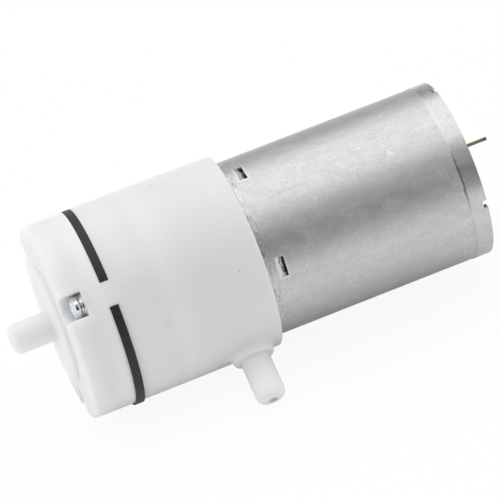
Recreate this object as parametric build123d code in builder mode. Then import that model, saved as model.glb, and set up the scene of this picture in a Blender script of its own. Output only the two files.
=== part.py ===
from build123d import *
from math import atan, cos, degrees, radians, sin
import os

# Micro vacuum pump lying on its side: a round three-chamber diaphragm head on a small DC motor.
# The pump axis is X. The motor lies towards +X and the front nozzle points to -X.
# X = 0 is the rear face of the head, where the motor can comes out of it.
# Angles round the axis start at the flank that shows a head screw and grow towards the side nozzle.

# Attitude on the table: how far the screw flank looks above the horizon
flank_elevation = 32.1

# Head, outside
head_diameter = 27.2
crankcase_draft_drop = 0.12
cover_length = 5.8
sheet_thickness = 1.2
seat_length = 7.8
crankcase_length = 12.2
cover_edge_round = 0.6
rear_edge_round = 0.3

# Front cover
cover_wall = 1.5
cover_front_wall = 1.6
plateau_setback = 5.6
plateau_height = 0.7
plateau_round = 0.45
front_nozzle_diameter = 4.25
front_nozzle_length = 5.8
nozzle_bore = 1.3
nozzle_tip_round = 1.0
nozzle_root_round = 0.5
outlet_chamber_radius = 4.4
chamber_rib = 0.8

# Head screws, their pockets and washers
screw_count = 3
screw_angle = -5
screw_inset = 2.3
screw_diameter = 1.6
screw_engagement = 3.6
screw_head_diameter = 3.1
screw_head_height = 1.2
screw_head_round = 1.0
washer_rim = 0.05
washer_thickness = 0.25
spring_washer_diameter = 2.9
spring_washer_thickness = 0.35
spring_washer_split = 0.4
screw_hole_clearance = 0.15
thread_gap = 0.02
pocket_gap = 0.1
pocket_depth = 3.0
pocket_wall = 1.0
pocket_edge_round = 0.3
screw_boss_wall = 1.2

# Valve plate and the rubber valves on it
valve_plate_thickness = 2.4
valve_plate_gap = 0.1
inlet_valve_offset = 1.1
inlet_valve_diameter = 4.0
inlet_valve_thickness = 0.35
valve_recess_depth = 0.5
valve_stem_diameter = 1.1
valve_bulb_diameter = 1.7
valve_bulb_height = 0.6
inlet_port_diameter = 0.9
inlet_port_spacing = 0.7
inlet_port_count = 4
outlet_valve_gap = 0.3
outlet_valve_thickness = 0.4
outlet_port_inset = 0.9
outlet_port_diameter = 1.1
suction_passage_offset = 0.3
suction_passage_diameter = 1.8
rubber_gap = 0.05

# Rubber diaphragm: a sheet with three cups, and the seat under it
cup_land = 0.95
cup_web = 1.41
cup_wall = 0.5
cup_floor_diameter = 5.2
cup_floor_thickness = 0.8
cup_bore_gap = 0.25
cup_stem_diameter = 1.8
cup_collar_diameter = 3.4
cup_collar_height = 0.4
cup_button_diameter = 2.7
cup_button_height = 0.9
bridge_width = 3.4
bridge_length = 4.8
sheet_notch_gap = 0.05
sheet_squeeze = 0.3
seat_web = 3.8
head_wall = 1.6

# Wobble drive: the rocker nods about the fulcrum, a point on the axis in the middle of its arms
stroke = 1.2
fulcrum_depth = 6.0
arm_thickness = 1.6
arm_width = 3.6
arm_tip_diameter = 4.4
rocker_hub_diameter = 6.4
rocker_boss_diameter = 4.6
rocker_boss_length = 2.6
rocker_nose = 0.5
pin_diameter = 1.5
pin_end_gap = 0.1
pin_press_length = 3.0
running_gap = 0.03
eccentric_diameter = 6.8
eccentric_flange_gap = 1.4
eccentric_flange_length = 2.8
eccentric_gap = 0.8
eccentric_floor_gap = 0.6

# Crankcase floor and side nozzle
crankcase_floor = 2.2
motor_register = 0.8
motor_register_wall = 1.4
motor_register_gap = 0.05
side_nozzle_angle = 70.5
side_nozzle_setback = 4.6
side_nozzle_diameter = 4.1
side_nozzle_length = 7.5
side_collar_diameter = 5.8
side_collar_height = 1.3
side_collar_edge_round = 0.4
side_collar_round = 0.85

# Motor can
can_wall = 1.0
can_visible_length = 31.1
can_corner_round = 0.7
can_band_length = 2.4
can_band_step = 0.06
can_boss_wall = 0.575
can_boss_length = 1.7
boss_hole_gap = 0.1
tab_setback = 2.2
tab_window_length = 1.15
tab_window_width = 2.8
tab_pair_angle = -17.15
tab_cover_angle = 10.45
tab_thickness = 0.6
tab_depth = 0.7
tab_edge_drop = 0.1
notch_count = 4
notch_angle = -61.1
notch_width = 1.1
notch_depth = 0.6

# Motor mounting screws
motor_screw_inset = 4.2
motor_screw_diameter = 2.5
motor_screw_head_diameter = 4.4
motor_screw_head_height = 1.4
motor_screw_engagement = 1.8

# Shaft and bearings
shaft_diameter = 2.0
bush_diameter = 5.0
front_bush_length = 3.0
rear_bush_length = 2.6
shaft_rear_margin = 0.2

# Magnets and clips
magnet_stop_gap = 0.425
magnet_overhang = 3.5
magnet_thickness = 2.5
magnet_half_angle = 65
magnet_gap = 0.05
clip_strip = 0.3
clip_side_angle = 3
clip_margin = 1.5
clip_leg = 1.9

# Armature
air_gap = 0.45
front_spacer_length = 5.3
core_hub_diameter = 5.2
tooth_width = 2.4
pole_count = 3
shoe_thickness = 1.5
shoe_half_angle = 52
coil_thickness = 1.3
coil_hub_gap = 0.4
coil_shoe_gap = 0.7
coil_overhang = 1.6
coil_end_gap = 0.8
coil_gap = 0.05
coil_round = 0.6

# Commutator, varistor and spacers
commutator_end_gap = 0.6
commutator_length = 4.2
commutator_diameter = 6.0
segment_thickness = 0.65
segment_half_angle = 57
varistor_diameter = 9.0
varistor_thickness = 0.8
varistor_setback = 1.0
spacer_diameter = 4.0
spacer_gap = 0.2

# End cap, brushes and terminals
end_cap_thickness = 2.3
end_cap_recess = 0.6
end_cap_gap = 0.05
end_cap_boss_wall = 1.1
end_cap_boss_height = 1.6
end_cap_boss_chamfer = 0.3
end_cap_lip = 0.5
end_cap_pad_wall = 0.8
end_cap_pad_height = 0.35
vent_diameter = 2.4
vent_inset = 4.0
brush_thickness = 1.8
brush_width = 2.0
brush_line_radius = 5.3
brush_gap = 0.05
brush_arm_thickness = 0.3
brush_arm_width = 2.6
brush_arm_overrun = 1.4
terminal_angle = -15
terminal_inset = 2.7
terminal_width = 2.0
terminal_thickness = 0.45
terminal_reach = 3.4
terminal_hole_diameter = 0.9
terminal_slot_gap = 0.05

# Stations along the axis
crankcase_front = -crankcase_length
seat_front = crankcase_front - seat_length
sheet_front = seat_front - sheet_thickness
cover_front = sheet_front - cover_length
gallery_front = cover_front + cover_front_wall
plate_front = sheet_front - valve_plate_thickness
plateau_front = cover_front - plateau_height
nozzle_tip = plateau_front - front_nozzle_length
pocket_floor = cover_front + pocket_depth
web_rear = seat_front + seat_web
fulcrum = seat_front + fulcrum_depth
floor_rear = -motor_register
floor_front = floor_rear - crankcase_floor
can_front = -motor_register
can_inner_front = can_front + can_wall
can_rear = can_visible_length
boss_front = can_front - can_boss_length
front_bush_rear = boss_front + front_bush_length
end_cap_rear = can_rear - end_cap_recess
end_cap_start = end_cap_rear - end_cap_thickness
end_cap_top = end_cap_rear + end_cap_boss_height
eccentric_rear = floor_front - eccentric_floor_gap
tab_start = tab_setback - tab_window_length / 2
tab_end = tab_setback + tab_window_length / 2

# Stack on the shaft: what the commutator, varistor and bushes leave of the can is the core's length
commutator_start = end_cap_start - commutator_end_gap - commutator_length
varistor_front = commutator_start - varistor_setback
core_start = front_bush_rear + spacer_gap + front_spacer_length
core_end = varistor_front - coil_end_gap - coil_overhang
core_length = core_end - core_start
magnet_start = tab_end + magnet_stop_gap
magnet_length = core_length + 2 * magnet_overhang

# Head radii: the three cups fill the ring between the crankcase wall and each other
head_radius = head_diameter / 2
crankcase_rear_radius = head_radius - crankcase_draft_drop
crankcase_inner_radius = head_radius - head_wall
side_nozzle_reach = crankcase_rear_radius + side_nozzle_length
recess_radius = head_radius - cover_wall
plateau_radius = head_radius - plateau_setback
screw_circle = head_radius - screw_inset
cup_circle = (crankcase_inner_radius - cup_land + cup_web / 2) / (1 + sin(radians(180 / screw_count)))
cup_bore_radius = crankcase_inner_radius - cup_land - cup_circle
cup_radius = cup_bore_radius - cup_bore_gap
suction_passage_circle = cup_circle + suction_passage_offset
washer_diameter = screw_head_diameter + 2 * washer_rim
pocket_width = washer_diameter + 2 * pocket_gap
pocket_radius = pocket_width / 2
pocket_boss_radius = pocket_radius + pocket_wall
screw_radius = screw_diameter / 2
screw_hole_radius = screw_radius + screw_hole_clearance
screw_boss_radius = screw_radius + screw_boss_wall
inlet_valve_circle = cup_circle + inlet_valve_offset
inlet_port_circle = valve_stem_diameter / 2 + inlet_port_spacing
outlet_valve_radius = outlet_chamber_radius - outlet_valve_gap
outlet_port_circle = cup_circle - cup_radius + cup_wall + outlet_port_inset

# Motor radii: the can is the bought motor's, and the head's register fits round it
can_radius = head_radius - motor_register_wall
can_bore_radius = can_radius - can_wall
can_boss_radius = bush_diameter / 2 + can_boss_wall
motor_screw_circle = can_radius - motor_screw_inset
magnet_outer = can_bore_radius - magnet_gap
core_radius = magnet_outer - magnet_thickness - air_gap
coil_inner_radius = core_hub_diameter / 2 + coil_hub_gap
coil_outer_radius = core_radius - shoe_thickness - coil_shoe_gap
terminal_circle = can_bore_radius - terminal_inset
vent_circle = can_bore_radius - vent_inset
end_cap_boss_radius = bush_diameter / 2 + end_cap_boss_wall
eccentric_flange_radius = motor_screw_circle - motor_screw_head_diameter / 2 - eccentric_flange_gap
shaft_radius = shaft_diameter / 2
pin_radius = pin_diameter / 2
chamber_angle = screw_angle + 180 / screw_count
motor_screw_angle = screw_angle + 90 / screw_count
tilt = degrees(atan(stroke / 2 / cup_circle))
tab_half_angle = 90 - magnet_half_angle + tab_cover_angle
clip_half_angle = 90 - magnet_half_angle - clip_side_angle


def cross_plane(x):
    """Plane across the pump axis at x. Its own x axis points at the screw flank."""
    flank = (0, -cos(radians(flank_elevation)), sin(radians(flank_elevation)))
    return Plane(origin=(x, 0, 0), x_dir=flank, z_dir=(1, 0, 0))


def radial_plane(x, angle, distance):
    """Plane that faces outwards from the axis at x, its own x axis along the pump axis."""
    outward = cross_plane(0).from_local_coords(Vector(cos(radians(angle)), sin(radians(angle)), 0))
    return Plane(origin=Vector(x, 0, 0) + outward * distance, x_dir=(1, 0, 0), z_dir=outward)


def axial_plane(angle):
    """Plane that holds the pump axis as its x axis and the outward radius at this angle as its y."""
    return Plane(origin=(0, 0, 0), x_dir=(1, 0, 0), z_dir=radial_plane(0, angle + 90, 0).z_dir)


def ring_sector(inner, outer, middle, half):
    """Sector of a ring, drawn in the sketch that is open."""
    with BuildLine() as outline:
        rim = CenterArc((0, 0), outer, middle - half, 2 * half)
        root = CenterArc((0, 0), inner, middle - half, 2 * half)
        Line(rim @ 0, root @ 0)
        Line(rim @ 1, root @ 1)
    make_face(outline.edges())


# The rocker's own plane: tilted about the fulcrum so that the drive pin in it leans downwards
rocker_plane = cross_plane(fulcrum).rotated((0, tilt, 0))
arm_front = -arm_thickness / 2
arm_rear = arm_thickness / 2
boss_rear = arm_rear + rocker_boss_length
eccentric_front = fulcrum + boss_rear + eccentric_gap
pin_front = arm_front + rocker_nose + pin_end_gap
pin_rear = (eccentric_front - fulcrum) / cos(radians(tilt)) + pin_press_length
shaft_front = fulcrum + pin_rear + pin_end_gap
os.makedirs("parts", exist_ok=True)

# Front cover: one moulding with the front nozzle, three screw pockets and the outlet chamber
with BuildPart() as front_cover:
    with BuildSketch(cross_plane(cover_front)):
        Circle(head_radius)
    extrude(amount=cover_length)
    fillet(front_cover.faces().sort_by(Axis.X)[0].edges(), cover_edge_round)
    with BuildSketch(cross_plane(cover_front)):
        Circle(plateau_radius)
    extrude(amount=-plateau_height)
    fillet(front_cover.faces().sort_by(Axis.X)[0].edges(), plateau_round)
    with BuildSketch(cross_plane(plateau_front)):
        Circle(front_nozzle_diameter / 2)
    extrude(amount=-front_nozzle_length)
    fillet(front_cover.faces().sort_by(Axis.X)[0].edges(), nozzle_tip_round)
    root = front_cover.edges().filter_by(GeomType.CIRCLE).filter_by_position(
        Axis.X, plateau_front - rubber_gap, plateau_front + rubber_gap
    )
    fillet(root.sort_by(SortBy.RADIUS)[0], nozzle_root_round)
    with BuildSketch(cross_plane(plate_front)):
        Circle(recess_radius)
        with PolarLocations(screw_circle, screw_count, screw_angle):
            Circle(pocket_boss_radius, mode=Mode.SUBTRACT)
    extrude(amount=valve_plate_thickness, mode=Mode.SUBTRACT)
    with BuildSketch(cross_plane(gallery_front)):
        Circle(recess_radius)
        Circle(outlet_chamber_radius + chamber_rib, mode=Mode.SUBTRACT)
        with PolarLocations(screw_circle, screw_count, screw_angle):
            Circle(pocket_boss_radius, mode=Mode.SUBTRACT)
        Circle(outlet_chamber_radius)
    extrude(amount=plate_front - gallery_front, mode=Mode.SUBTRACT)
    with BuildSketch(cross_plane(cover_front)):
        with PolarLocations(screw_circle, screw_count, screw_angle):
            Circle(pocket_radius)
            Rectangle(head_radius, pocket_width, align=(Align.MIN, Align.CENTER))
    extrude(amount=pocket_depth, mode=Mode.SUBTRACT)
    mouths = front_cover.edges(Select.LAST).filter_by_position(
        Axis.X, cover_front - rubber_gap, pocket_floor - rubber_gap
    )
    wall_seams = mouths.filter_by(Axis.X).sort_by_distance((cover_front, 0, 0))[: 2 * screw_count]
    fillet(mouths - wall_seams, pocket_edge_round)
    with BuildSketch(cross_plane(pocket_floor)):
        with PolarLocations(screw_circle, screw_count, screw_angle):
            Circle(screw_hole_radius)
    extrude(amount=sheet_front - pocket_floor, mode=Mode.SUBTRACT)
    with BuildSketch(cross_plane(nozzle_tip)):
        Circle(nozzle_bore / 2)
    extrude(amount=gallery_front - nozzle_tip, mode=Mode.SUBTRACT)
front_cover.part.label = "front_cover"
export_step(front_cover.part, "parts/front_cover.step")

# Valve plate: lies in the cover's recess and closes the three pumping chambers
with BuildPart() as valve_plate:
    with BuildSketch(cross_plane(plate_front)):
        Circle(recess_radius - valve_plate_gap)
        with PolarLocations(screw_circle, screw_count, screw_angle):
            Circle(pocket_boss_radius + valve_plate_gap, mode=Mode.SUBTRACT)
        with PolarLocations(suction_passage_circle, screw_count, screw_angle):
            Circle(suction_passage_diameter / 2, mode=Mode.SUBTRACT)
        with PolarLocations(outlet_port_circle, screw_count, chamber_angle):
            Circle(outlet_port_diameter / 2, mode=Mode.SUBTRACT)
        with PolarLocations(inlet_valve_circle, screw_count, chamber_angle):
            Circle(valve_stem_diameter / 2 + rubber_gap, mode=Mode.SUBTRACT)
            with PolarLocations(inlet_port_circle, inlet_port_count):
                Circle(inlet_port_diameter / 2, mode=Mode.SUBTRACT)
        Circle(valve_stem_diameter / 2 + rubber_gap, mode=Mode.SUBTRACT)
    extrude(amount=valve_plate_thickness)
    with BuildSketch(cross_plane(sheet_front - valve_recess_depth)):
        with PolarLocations(inlet_valve_circle, screw_count, chamber_angle):
            Circle(inlet_valve_diameter / 2 + rubber_gap)
    extrude(amount=valve_recess_depth, mode=Mode.SUBTRACT)
    with BuildSketch(cross_plane(sheet_front - valve_bulb_height)):
        Circle(valve_bulb_diameter / 2 + rubber_gap)
    extrude(amount=valve_bulb_height, mode=Mode.SUBTRACT)
valve_plate.part.label = "valve_plate"
export_step(valve_plate.part, "parts/valve_plate.step")

# Inlet valves: three rubber umbrellas hanging under the valve plate, one over each chamber
with BuildPart() as inlet_valves:
    with BuildSketch(cross_plane(sheet_front - valve_recess_depth)):
        with PolarLocations(inlet_valve_circle, screw_count, chamber_angle):
            Circle(inlet_valve_diameter / 2)
    extrude(amount=inlet_valve_thickness)
    with BuildSketch(cross_plane(plate_front)):
        with PolarLocations(inlet_valve_circle, screw_count, chamber_angle):
            Circle(valve_stem_diameter / 2)
    extrude(amount=valve_plate_thickness - valve_recess_depth)
    with BuildSketch(cross_plane(plate_front)):
        with PolarLocations(inlet_valve_circle, screw_count, chamber_angle):
            Circle(valve_bulb_diameter / 2)
    extrude(amount=-valve_bulb_height)
inlet_valves.part.label = "inlet_valves"
export_step(inlet_valves.part, "parts/inlet_valves.step")

# Outlet valve: one rubber disc in the outlet chamber that covers the three outlet ports
with BuildPart() as outlet_valve:
    with BuildSketch(cross_plane(plate_front)):
        Circle(outlet_valve_radius)
    extrude(amount=-outlet_valve_thickness)
    with BuildSketch(cross_plane(plate_front)):
        Circle(valve_stem_diameter / 2)
    extrude(amount=valve_plate_thickness - valve_bulb_height)
    with BuildSketch(cross_plane(sheet_front - valve_bulb_height)):
        Circle(valve_bulb_diameter / 2)
    extrude(amount=valve_bulb_height - rubber_gap)
outlet_valve.part.label = "outlet_valve"
export_step(outlet_valve.part, "parts/outlet_valve.step")

# Diaphragm: a rubber sheet whose rim shows round the head, a little squeezed out on the nozzle's side,
# with three cups and their stems.
# Each cup runs from the flat sheet to a floor that lies on the tilted rocker.
collar_front = arm_front - rubber_gap - cup_collar_height
floor_inside = collar_front - cup_floor_thickness
button_front = arm_rear + rubber_gap
with BuildPart() as diaphragm:
    with BuildSketch(cross_plane(sheet_front)):
        with Locations((0, sheet_squeeze / 2)):
            Circle(head_radius + sheet_squeeze / 2)
        with PolarLocations(head_radius, screw_count, screw_angle):
            Rectangle(
                2 * (bridge_length + sheet_notch_gap),
                bridge_width + 2 * sheet_notch_gap,
                mode=Mode.SUBTRACT,
            )
        with PolarLocations(suction_passage_circle, screw_count, screw_angle):
            Circle(suction_passage_diameter / 2, mode=Mode.SUBTRACT)
    extrude(amount=sheet_thickness)
    for index in range(screw_count):
        place = PolarLocations(cup_circle, 1, chamber_angle + index * 360 / screw_count)
        with BuildSketch(cross_plane(seat_front)):
            with place:
                Circle(cup_radius)
        with BuildSketch(rocker_plane.offset(collar_front)):
            with place:
                Circle(cup_floor_diameter / 2)
        loft()
        with BuildSketch(cross_plane(seat_front)):
            with place:
                Circle(cup_radius - cup_wall)
        with BuildSketch(rocker_plane.offset(floor_inside)):
            with place:
                Circle(cup_floor_diameter / 2 - cup_wall)
        loft(mode=Mode.SUBTRACT)
        with BuildSketch(cross_plane(sheet_front)):
            with place:
                Circle(cup_radius - cup_wall)
        extrude(amount=sheet_thickness, mode=Mode.SUBTRACT)
        with BuildSketch(rocker_plane.offset(collar_front)):
            with place:
                Circle(cup_collar_diameter / 2)
        extrude(amount=cup_collar_height)
        with BuildSketch(rocker_plane.offset(collar_front)):
            with place:
                Circle(cup_stem_diameter / 2)
        extrude(amount=button_front - collar_front)
        with BuildSketch(rocker_plane.offset(button_front)):
            with place:
                Circle(cup_button_diameter / 2)
        extrude(amount=cup_button_height)
diaphragm.part.label = "diaphragm"
export_step(diaphragm.part, "parts/diaphragm.step")

# Diaphragm seat: ring with a web that holds the cups, and three bridges that meet the cover
with BuildPart() as diaphragm_seat:
    with BuildSketch(cross_plane(seat_front)):
        Circle(head_radius)
    extrude(amount=seat_length)
    with BuildSketch(cross_plane(web_rear)):
        Circle(crankcase_inner_radius)
        with PolarLocations(screw_circle, screw_count, screw_angle):
            Circle(screw_boss_radius, mode=Mode.SUBTRACT)
    extrude(amount=crankcase_front - web_rear, mode=Mode.SUBTRACT)
    with BuildSketch(cross_plane(seat_front)):
        with PolarLocations(cup_circle, screw_count, chamber_angle):
            Circle(cup_bore_radius)
        with PolarLocations(suction_passage_circle, screw_count, screw_angle):
            Circle(suction_passage_diameter / 2)
    extrude(amount=seat_web, mode=Mode.SUBTRACT)
    with BuildSketch(cross_plane(seat_front)):
        with PolarLocations(head_radius, screw_count, screw_angle):
            Rectangle(2 * bridge_length, bridge_width)
        Circle(head_radius, mode=Mode.INTERSECT)
    extrude(amount=-sheet_thickness)
    with BuildSketch(cross_plane(sheet_front)):
        with PolarLocations(screw_circle, screw_count, screw_angle):
            Circle(screw_hole_radius)
    extrude(amount=crankcase_front - sheet_front, mode=Mode.SUBTRACT)
diaphragm_seat.part.label = "diaphragm_seat"
export_step(diaphragm_seat.part, "parts/diaphragm_seat.step")

# Crankcase: cup round the wobble drive, with the side nozzle and the register for the motor
draft = degrees(atan(crankcase_draft_drop / crankcase_length))
nozzle_root = crankcase_rear_radius - head_wall / 2
with BuildPart() as crankcase:
    with BuildSketch(cross_plane(crankcase_front)):
        Circle(head_radius)
    extrude(amount=crankcase_length, taper=draft)
    fillet(crankcase.faces().sort_by(Axis.X)[-1].edges(), rear_edge_round)
    with BuildSketch(radial_plane(-side_nozzle_setback, side_nozzle_angle, nozzle_root)):
        Circle(side_collar_diameter / 2)
    extrude(amount=crankcase_rear_radius + side_collar_height - nozzle_root)
    collar_root = crankcase.edges(Select.LAST).filter_by(GeomType.BSPLINE)
    fillet(collar_root, side_collar_round)
    nozzle_axis = Axis((0, 0, 0), radial_plane(0, side_nozzle_angle, 0).z_dir)
    fillet(crankcase.faces().sort_by(nozzle_axis)[-1].edges(), side_collar_edge_round)
    with BuildSketch(radial_plane(-side_nozzle_setback, side_nozzle_angle, nozzle_root)):
        Circle(side_nozzle_diameter / 2)
    extrude(amount=side_nozzle_reach - nozzle_root)
    fillet(crankcase.faces().sort_by(nozzle_axis)[-1].edges(), nozzle_tip_round)
    with BuildSketch(cross_plane(crankcase_front)):
        Circle(crankcase_inner_radius)
        with PolarLocations(screw_circle, screw_count, screw_angle):
            Circle(screw_boss_radius, mode=Mode.SUBTRACT)
    extrude(amount=floor_front - crankcase_front, mode=Mode.SUBTRACT)
    with BuildSketch(cross_plane(crankcase_front)):
        with PolarLocations(screw_circle, screw_count, screw_angle):
            Circle(screw_radius + thread_gap)
    extrude(amount=floor_front - crankcase_front, mode=Mode.SUBTRACT)
    with BuildSketch(cross_plane(floor_rear)):
        Circle(can_radius + motor_register_gap)
    extrude(amount=motor_register, mode=Mode.SUBTRACT)
    with BuildSketch(cross_plane(floor_front)):
        Circle(can_boss_radius + boss_hole_gap)
        with PolarLocations(motor_screw_circle, 2, motor_screw_angle):
            Circle(motor_screw_diameter / 2 + screw_hole_clearance)
    extrude(amount=crankcase_floor, mode=Mode.SUBTRACT)
    with BuildSketch(radial_plane(-side_nozzle_setback, side_nozzle_angle, side_nozzle_reach)):
        Circle(nozzle_bore / 2)
    extrude(amount=crankcase_inner_radius - head_wall / 2 - side_nozzle_reach, mode=Mode.SUBTRACT)
crankcase.part.label = "crankcase"
export_step(crankcase.part, "parts/crankcase.step")

# Rocker: three arms on a boss that runs on the tilted drive pin
with BuildPart() as rocker:
    with BuildSketch(rocker_plane.offset(arm_front)):
        Circle(rocker_hub_diameter / 2)
        with PolarLocations(0, screw_count, chamber_angle):
            Rectangle(cup_circle, arm_width, align=(Align.MIN, Align.CENTER))
        with PolarLocations(cup_circle, screw_count, chamber_angle):
            Circle(arm_tip_diameter / 2)
            Circle(cup_stem_diameter / 2 + 2 * rubber_gap, mode=Mode.SUBTRACT)
    extrude(amount=arm_thickness)
    with BuildSketch(rocker_plane.offset(arm_rear)):
        Circle(rocker_boss_diameter / 2)
    extrude(amount=rocker_boss_length)
    with BuildSketch(rocker_plane.offset(arm_front + rocker_nose)):
        Circle(pin_radius + running_gap)
    extrude(amount=boss_rear - arm_front - rocker_nose, mode=Mode.SUBTRACT)
rocker.part.label = "rocker"
export_step(rocker.part, "parts/rocker.step")

# Drive pin: steel, pressed aslant into the eccentric so that its axis runs through the fulcrum
with BuildPart() as drive_pin:
    with BuildSketch(rocker_plane.offset(pin_front)):
        Circle(pin_radius)
    extrude(amount=pin_rear - pin_front)
drive_pin.part.label = "drive_pin"
export_step(drive_pin.part, "parts/drive_pin.step")

# Eccentric: stepped hub on the motor shaft that carries the slanted pin
with BuildPart() as eccentric:
    with BuildSketch(cross_plane(eccentric_front)):
        Circle(eccentric_diameter / 2)
    extrude(amount=eccentric_rear - eccentric_front)
    with BuildSketch(cross_plane(eccentric_rear)):
        Circle(eccentric_flange_radius)
    extrude(amount=-eccentric_flange_length)
    with BuildSketch(rocker_plane.offset(pin_front)):
        Circle(pin_radius)
    extrude(amount=pin_rear - pin_front, mode=Mode.SUBTRACT)
    with BuildSketch(cross_plane(shaft_front)):
        Circle(shaft_radius)
    extrude(amount=eccentric_rear - shaft_front, mode=Mode.SUBTRACT)
eccentric.part.label = "eccentric"
export_step(eccentric.part, "parts/eccentric.step")

# Head screws: round heads deep in the pockets, shanks through the whole head into the crankcase
washer_front = pocket_floor - washer_thickness
head_seat = washer_front - spring_washer_thickness
with BuildPart() as head_screws:
    with BuildSketch(cross_plane(head_seat)):
        with PolarLocations(screw_circle, screw_count, screw_angle):
            Circle(screw_head_diameter / 2)
    extrude(amount=-screw_head_height)
    head_faces = head_screws.faces().filter_by(GeomType.PLANE).group_by(Axis.X)[0]
    fillet(head_faces.edges(), screw_head_round)
    with BuildSketch(cross_plane(head_seat)):
        with PolarLocations(screw_circle, screw_count, screw_angle):
            Circle(screw_radius)
    extrude(amount=crankcase_front + screw_engagement - head_seat)
head_screws.part.label = "head_screws"
export_step(head_screws.part, "parts/head_screws.step")

# Spring washers: split steel rings under the heads, their slits turned outwards
with BuildPart() as spring_washers:
    with BuildSketch(cross_plane(head_seat)):
        with PolarLocations(screw_circle, screw_count, screw_angle):
            Circle(spring_washer_diameter / 2)
            Circle(screw_radius + thread_gap, mode=Mode.SUBTRACT)
            Rectangle(
                spring_washer_diameter,
                spring_washer_split,
                align=(Align.MIN, Align.CENTER),
                mode=Mode.SUBTRACT,
            )
    extrude(amount=spring_washer_thickness)
spring_washers.part.label = "spring_washers"
export_step(spring_washers.part, "parts/spring_washers.step")

# Screw washers: flat steel rings between spring washer and pocket floor
with BuildPart() as screw_washers:
    with BuildSketch(cross_plane(washer_front)):
        with PolarLocations(screw_circle, screw_count, screw_angle):
            Circle(washer_diameter / 2)
            Circle(screw_radius + thread_gap, mode=Mode.SUBTRACT)
    extrude(amount=washer_thickness)
screw_washers.part.label = "screw_washers"
export_step(screw_washers.part, "parts/screw_washers.step")

# Motor screws: hold the crankcase floor on the front face of the can
with BuildPart() as motor_screws:
    with BuildSketch(cross_plane(floor_front)):
        with PolarLocations(motor_screw_circle, 2, motor_screw_angle):
            Circle(motor_screw_head_diameter / 2)
    extrude(amount=-motor_screw_head_height)
    with BuildSketch(cross_plane(floor_front)):
        with PolarLocations(motor_screw_circle, 2, motor_screw_angle):
            Circle(motor_screw_diameter / 2)
    extrude(amount=crankcase_floor + motor_screw_engagement)
motor_screws.part.label = "motor_screws"
export_step(motor_screws.part, "parts/motor_screws.step")

# Motor can: drawn steel cup with a bearing boss, four lanced magnet stops, and a notched rim that is
# swaged out a little over the end cap
with BuildPart() as motor_can:
    with BuildSketch(cross_plane(can_front)):
        Circle(can_radius)
    extrude(amount=can_rear - can_front)
    fillet(motor_can.faces().sort_by(Axis.X)[0].edges(), can_corner_round)
    with BuildSketch(cross_plane(can_rear)):
        Circle(can_radius + can_band_step)
    extrude(amount=-can_band_length)
    with BuildSketch(cross_plane(can_front)):
        Circle(can_boss_radius)
    extrude(amount=-can_boss_length)
    with BuildSketch(cross_plane(can_inner_front)):
        Circle(can_bore_radius)
    extrude(amount=can_rear - can_inner_front, mode=Mode.SUBTRACT)
    with BuildSketch(cross_plane(boss_front)):
        Circle(bush_diameter / 2)
    extrude(amount=can_inner_front - boss_front, mode=Mode.SUBTRACT)
    with BuildSketch(cross_plane(can_front)):
        with PolarLocations(motor_screw_circle, 2, motor_screw_angle):
            Circle(motor_screw_diameter / 2 + thread_gap)
    extrude(amount=can_wall, mode=Mode.SUBTRACT)
    for pair in (tab_pair_angle, tab_pair_angle + 180):
        for angle in (pair - tab_half_angle, pair + tab_half_angle):
            with BuildSketch(radial_plane(tab_setback, angle, can_radius)):
                Rectangle(tab_window_length, tab_window_width)
            extrude(amount=-2 * can_wall, mode=Mode.SUBTRACT)
            with BuildSketch(axial_plane(angle)):
                with BuildLine():
                    Polyline(
                        (tab_start - tab_thickness, can_radius - can_wall / 2),
                        (tab_start, can_radius - tab_edge_drop),
                        (tab_end, can_radius - tab_depth),
                        (tab_end, can_radius - tab_depth - tab_thickness),
                        (tab_start - tab_thickness, can_radius - tab_edge_drop - tab_thickness),
                        close=True,
                    )
                make_face()
            extrude(amount=tab_window_width / 2, both=True)
    with BuildSketch(cross_plane(can_rear - notch_depth)):
        with PolarLocations(can_radius, notch_count, notch_angle):
            Rectangle(4 * can_wall, notch_width)
    extrude(amount=notch_depth, mode=Mode.SUBTRACT)
motor_can.part.label = "motor_can"
export_step(motor_can.part, "parts/motor_can.step")

# Front bearing: sintered bush pressed into the boss of the can
with BuildPart() as front_bearing:
    with BuildSketch(cross_plane(boss_front)):
        Circle(bush_diameter / 2)
        Circle(shaft_radius + running_gap, mode=Mode.SUBTRACT)
    extrude(amount=front_bush_length)
front_bearing.part.label = "front_bearing"
export_step(front_bearing.part, "parts/front_bearing.step")

# Rear bearing: the same bush in the boss of the end cap
bush_stop = end_cap_top - end_cap_lip
with BuildPart() as rear_bearing:
    with BuildSketch(cross_plane(bush_stop)):
        Circle(bush_diameter / 2)
        Circle(shaft_radius + running_gap, mode=Mode.SUBTRACT)
    extrude(amount=-rear_bush_length)
rear_bearing.part.label = "rear_bearing"
export_step(rear_bearing.part, "parts/rear_bearing.step")

# Magnets: two curved ferrite shells that lie against the can, stopped by the lanced tabs
with BuildPart() as magnets:
    with BuildSketch(cross_plane(magnet_start)):
        for side in (90, 270):
            ring_sector(
                magnet_outer - magnet_thickness, magnet_outer, tab_pair_angle + side, magnet_half_angle
            )
    extrude(amount=magnet_length)
magnets.part.label = "magnets"
export_step(magnets.part, "parts/magnets.step")

# Magnet clips: spring strips in the two gaps, with legs that push the magnets apart
with BuildPart() as magnet_clips:
    with BuildSketch(cross_plane(magnet_start + clip_margin)):
        for side in (0, 180):
            middle = tab_pair_angle + side
            ring_sector(magnet_outer - clip_strip, magnet_outer, middle, clip_half_angle)
            for edge in (-1, 1):
                leg_half = degrees(clip_strip / 2 / magnet_outer)
                leg_middle = middle + edge * (clip_half_angle - leg_half)
                ring_sector(magnet_outer - clip_strip - clip_leg, magnet_outer, leg_middle, leg_half)
    extrude(amount=magnet_length - 2 * clip_margin)
magnet_clips.part.label = "magnet_clips"
export_step(magnet_clips.part, "parts/magnet_clips.step")

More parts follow.
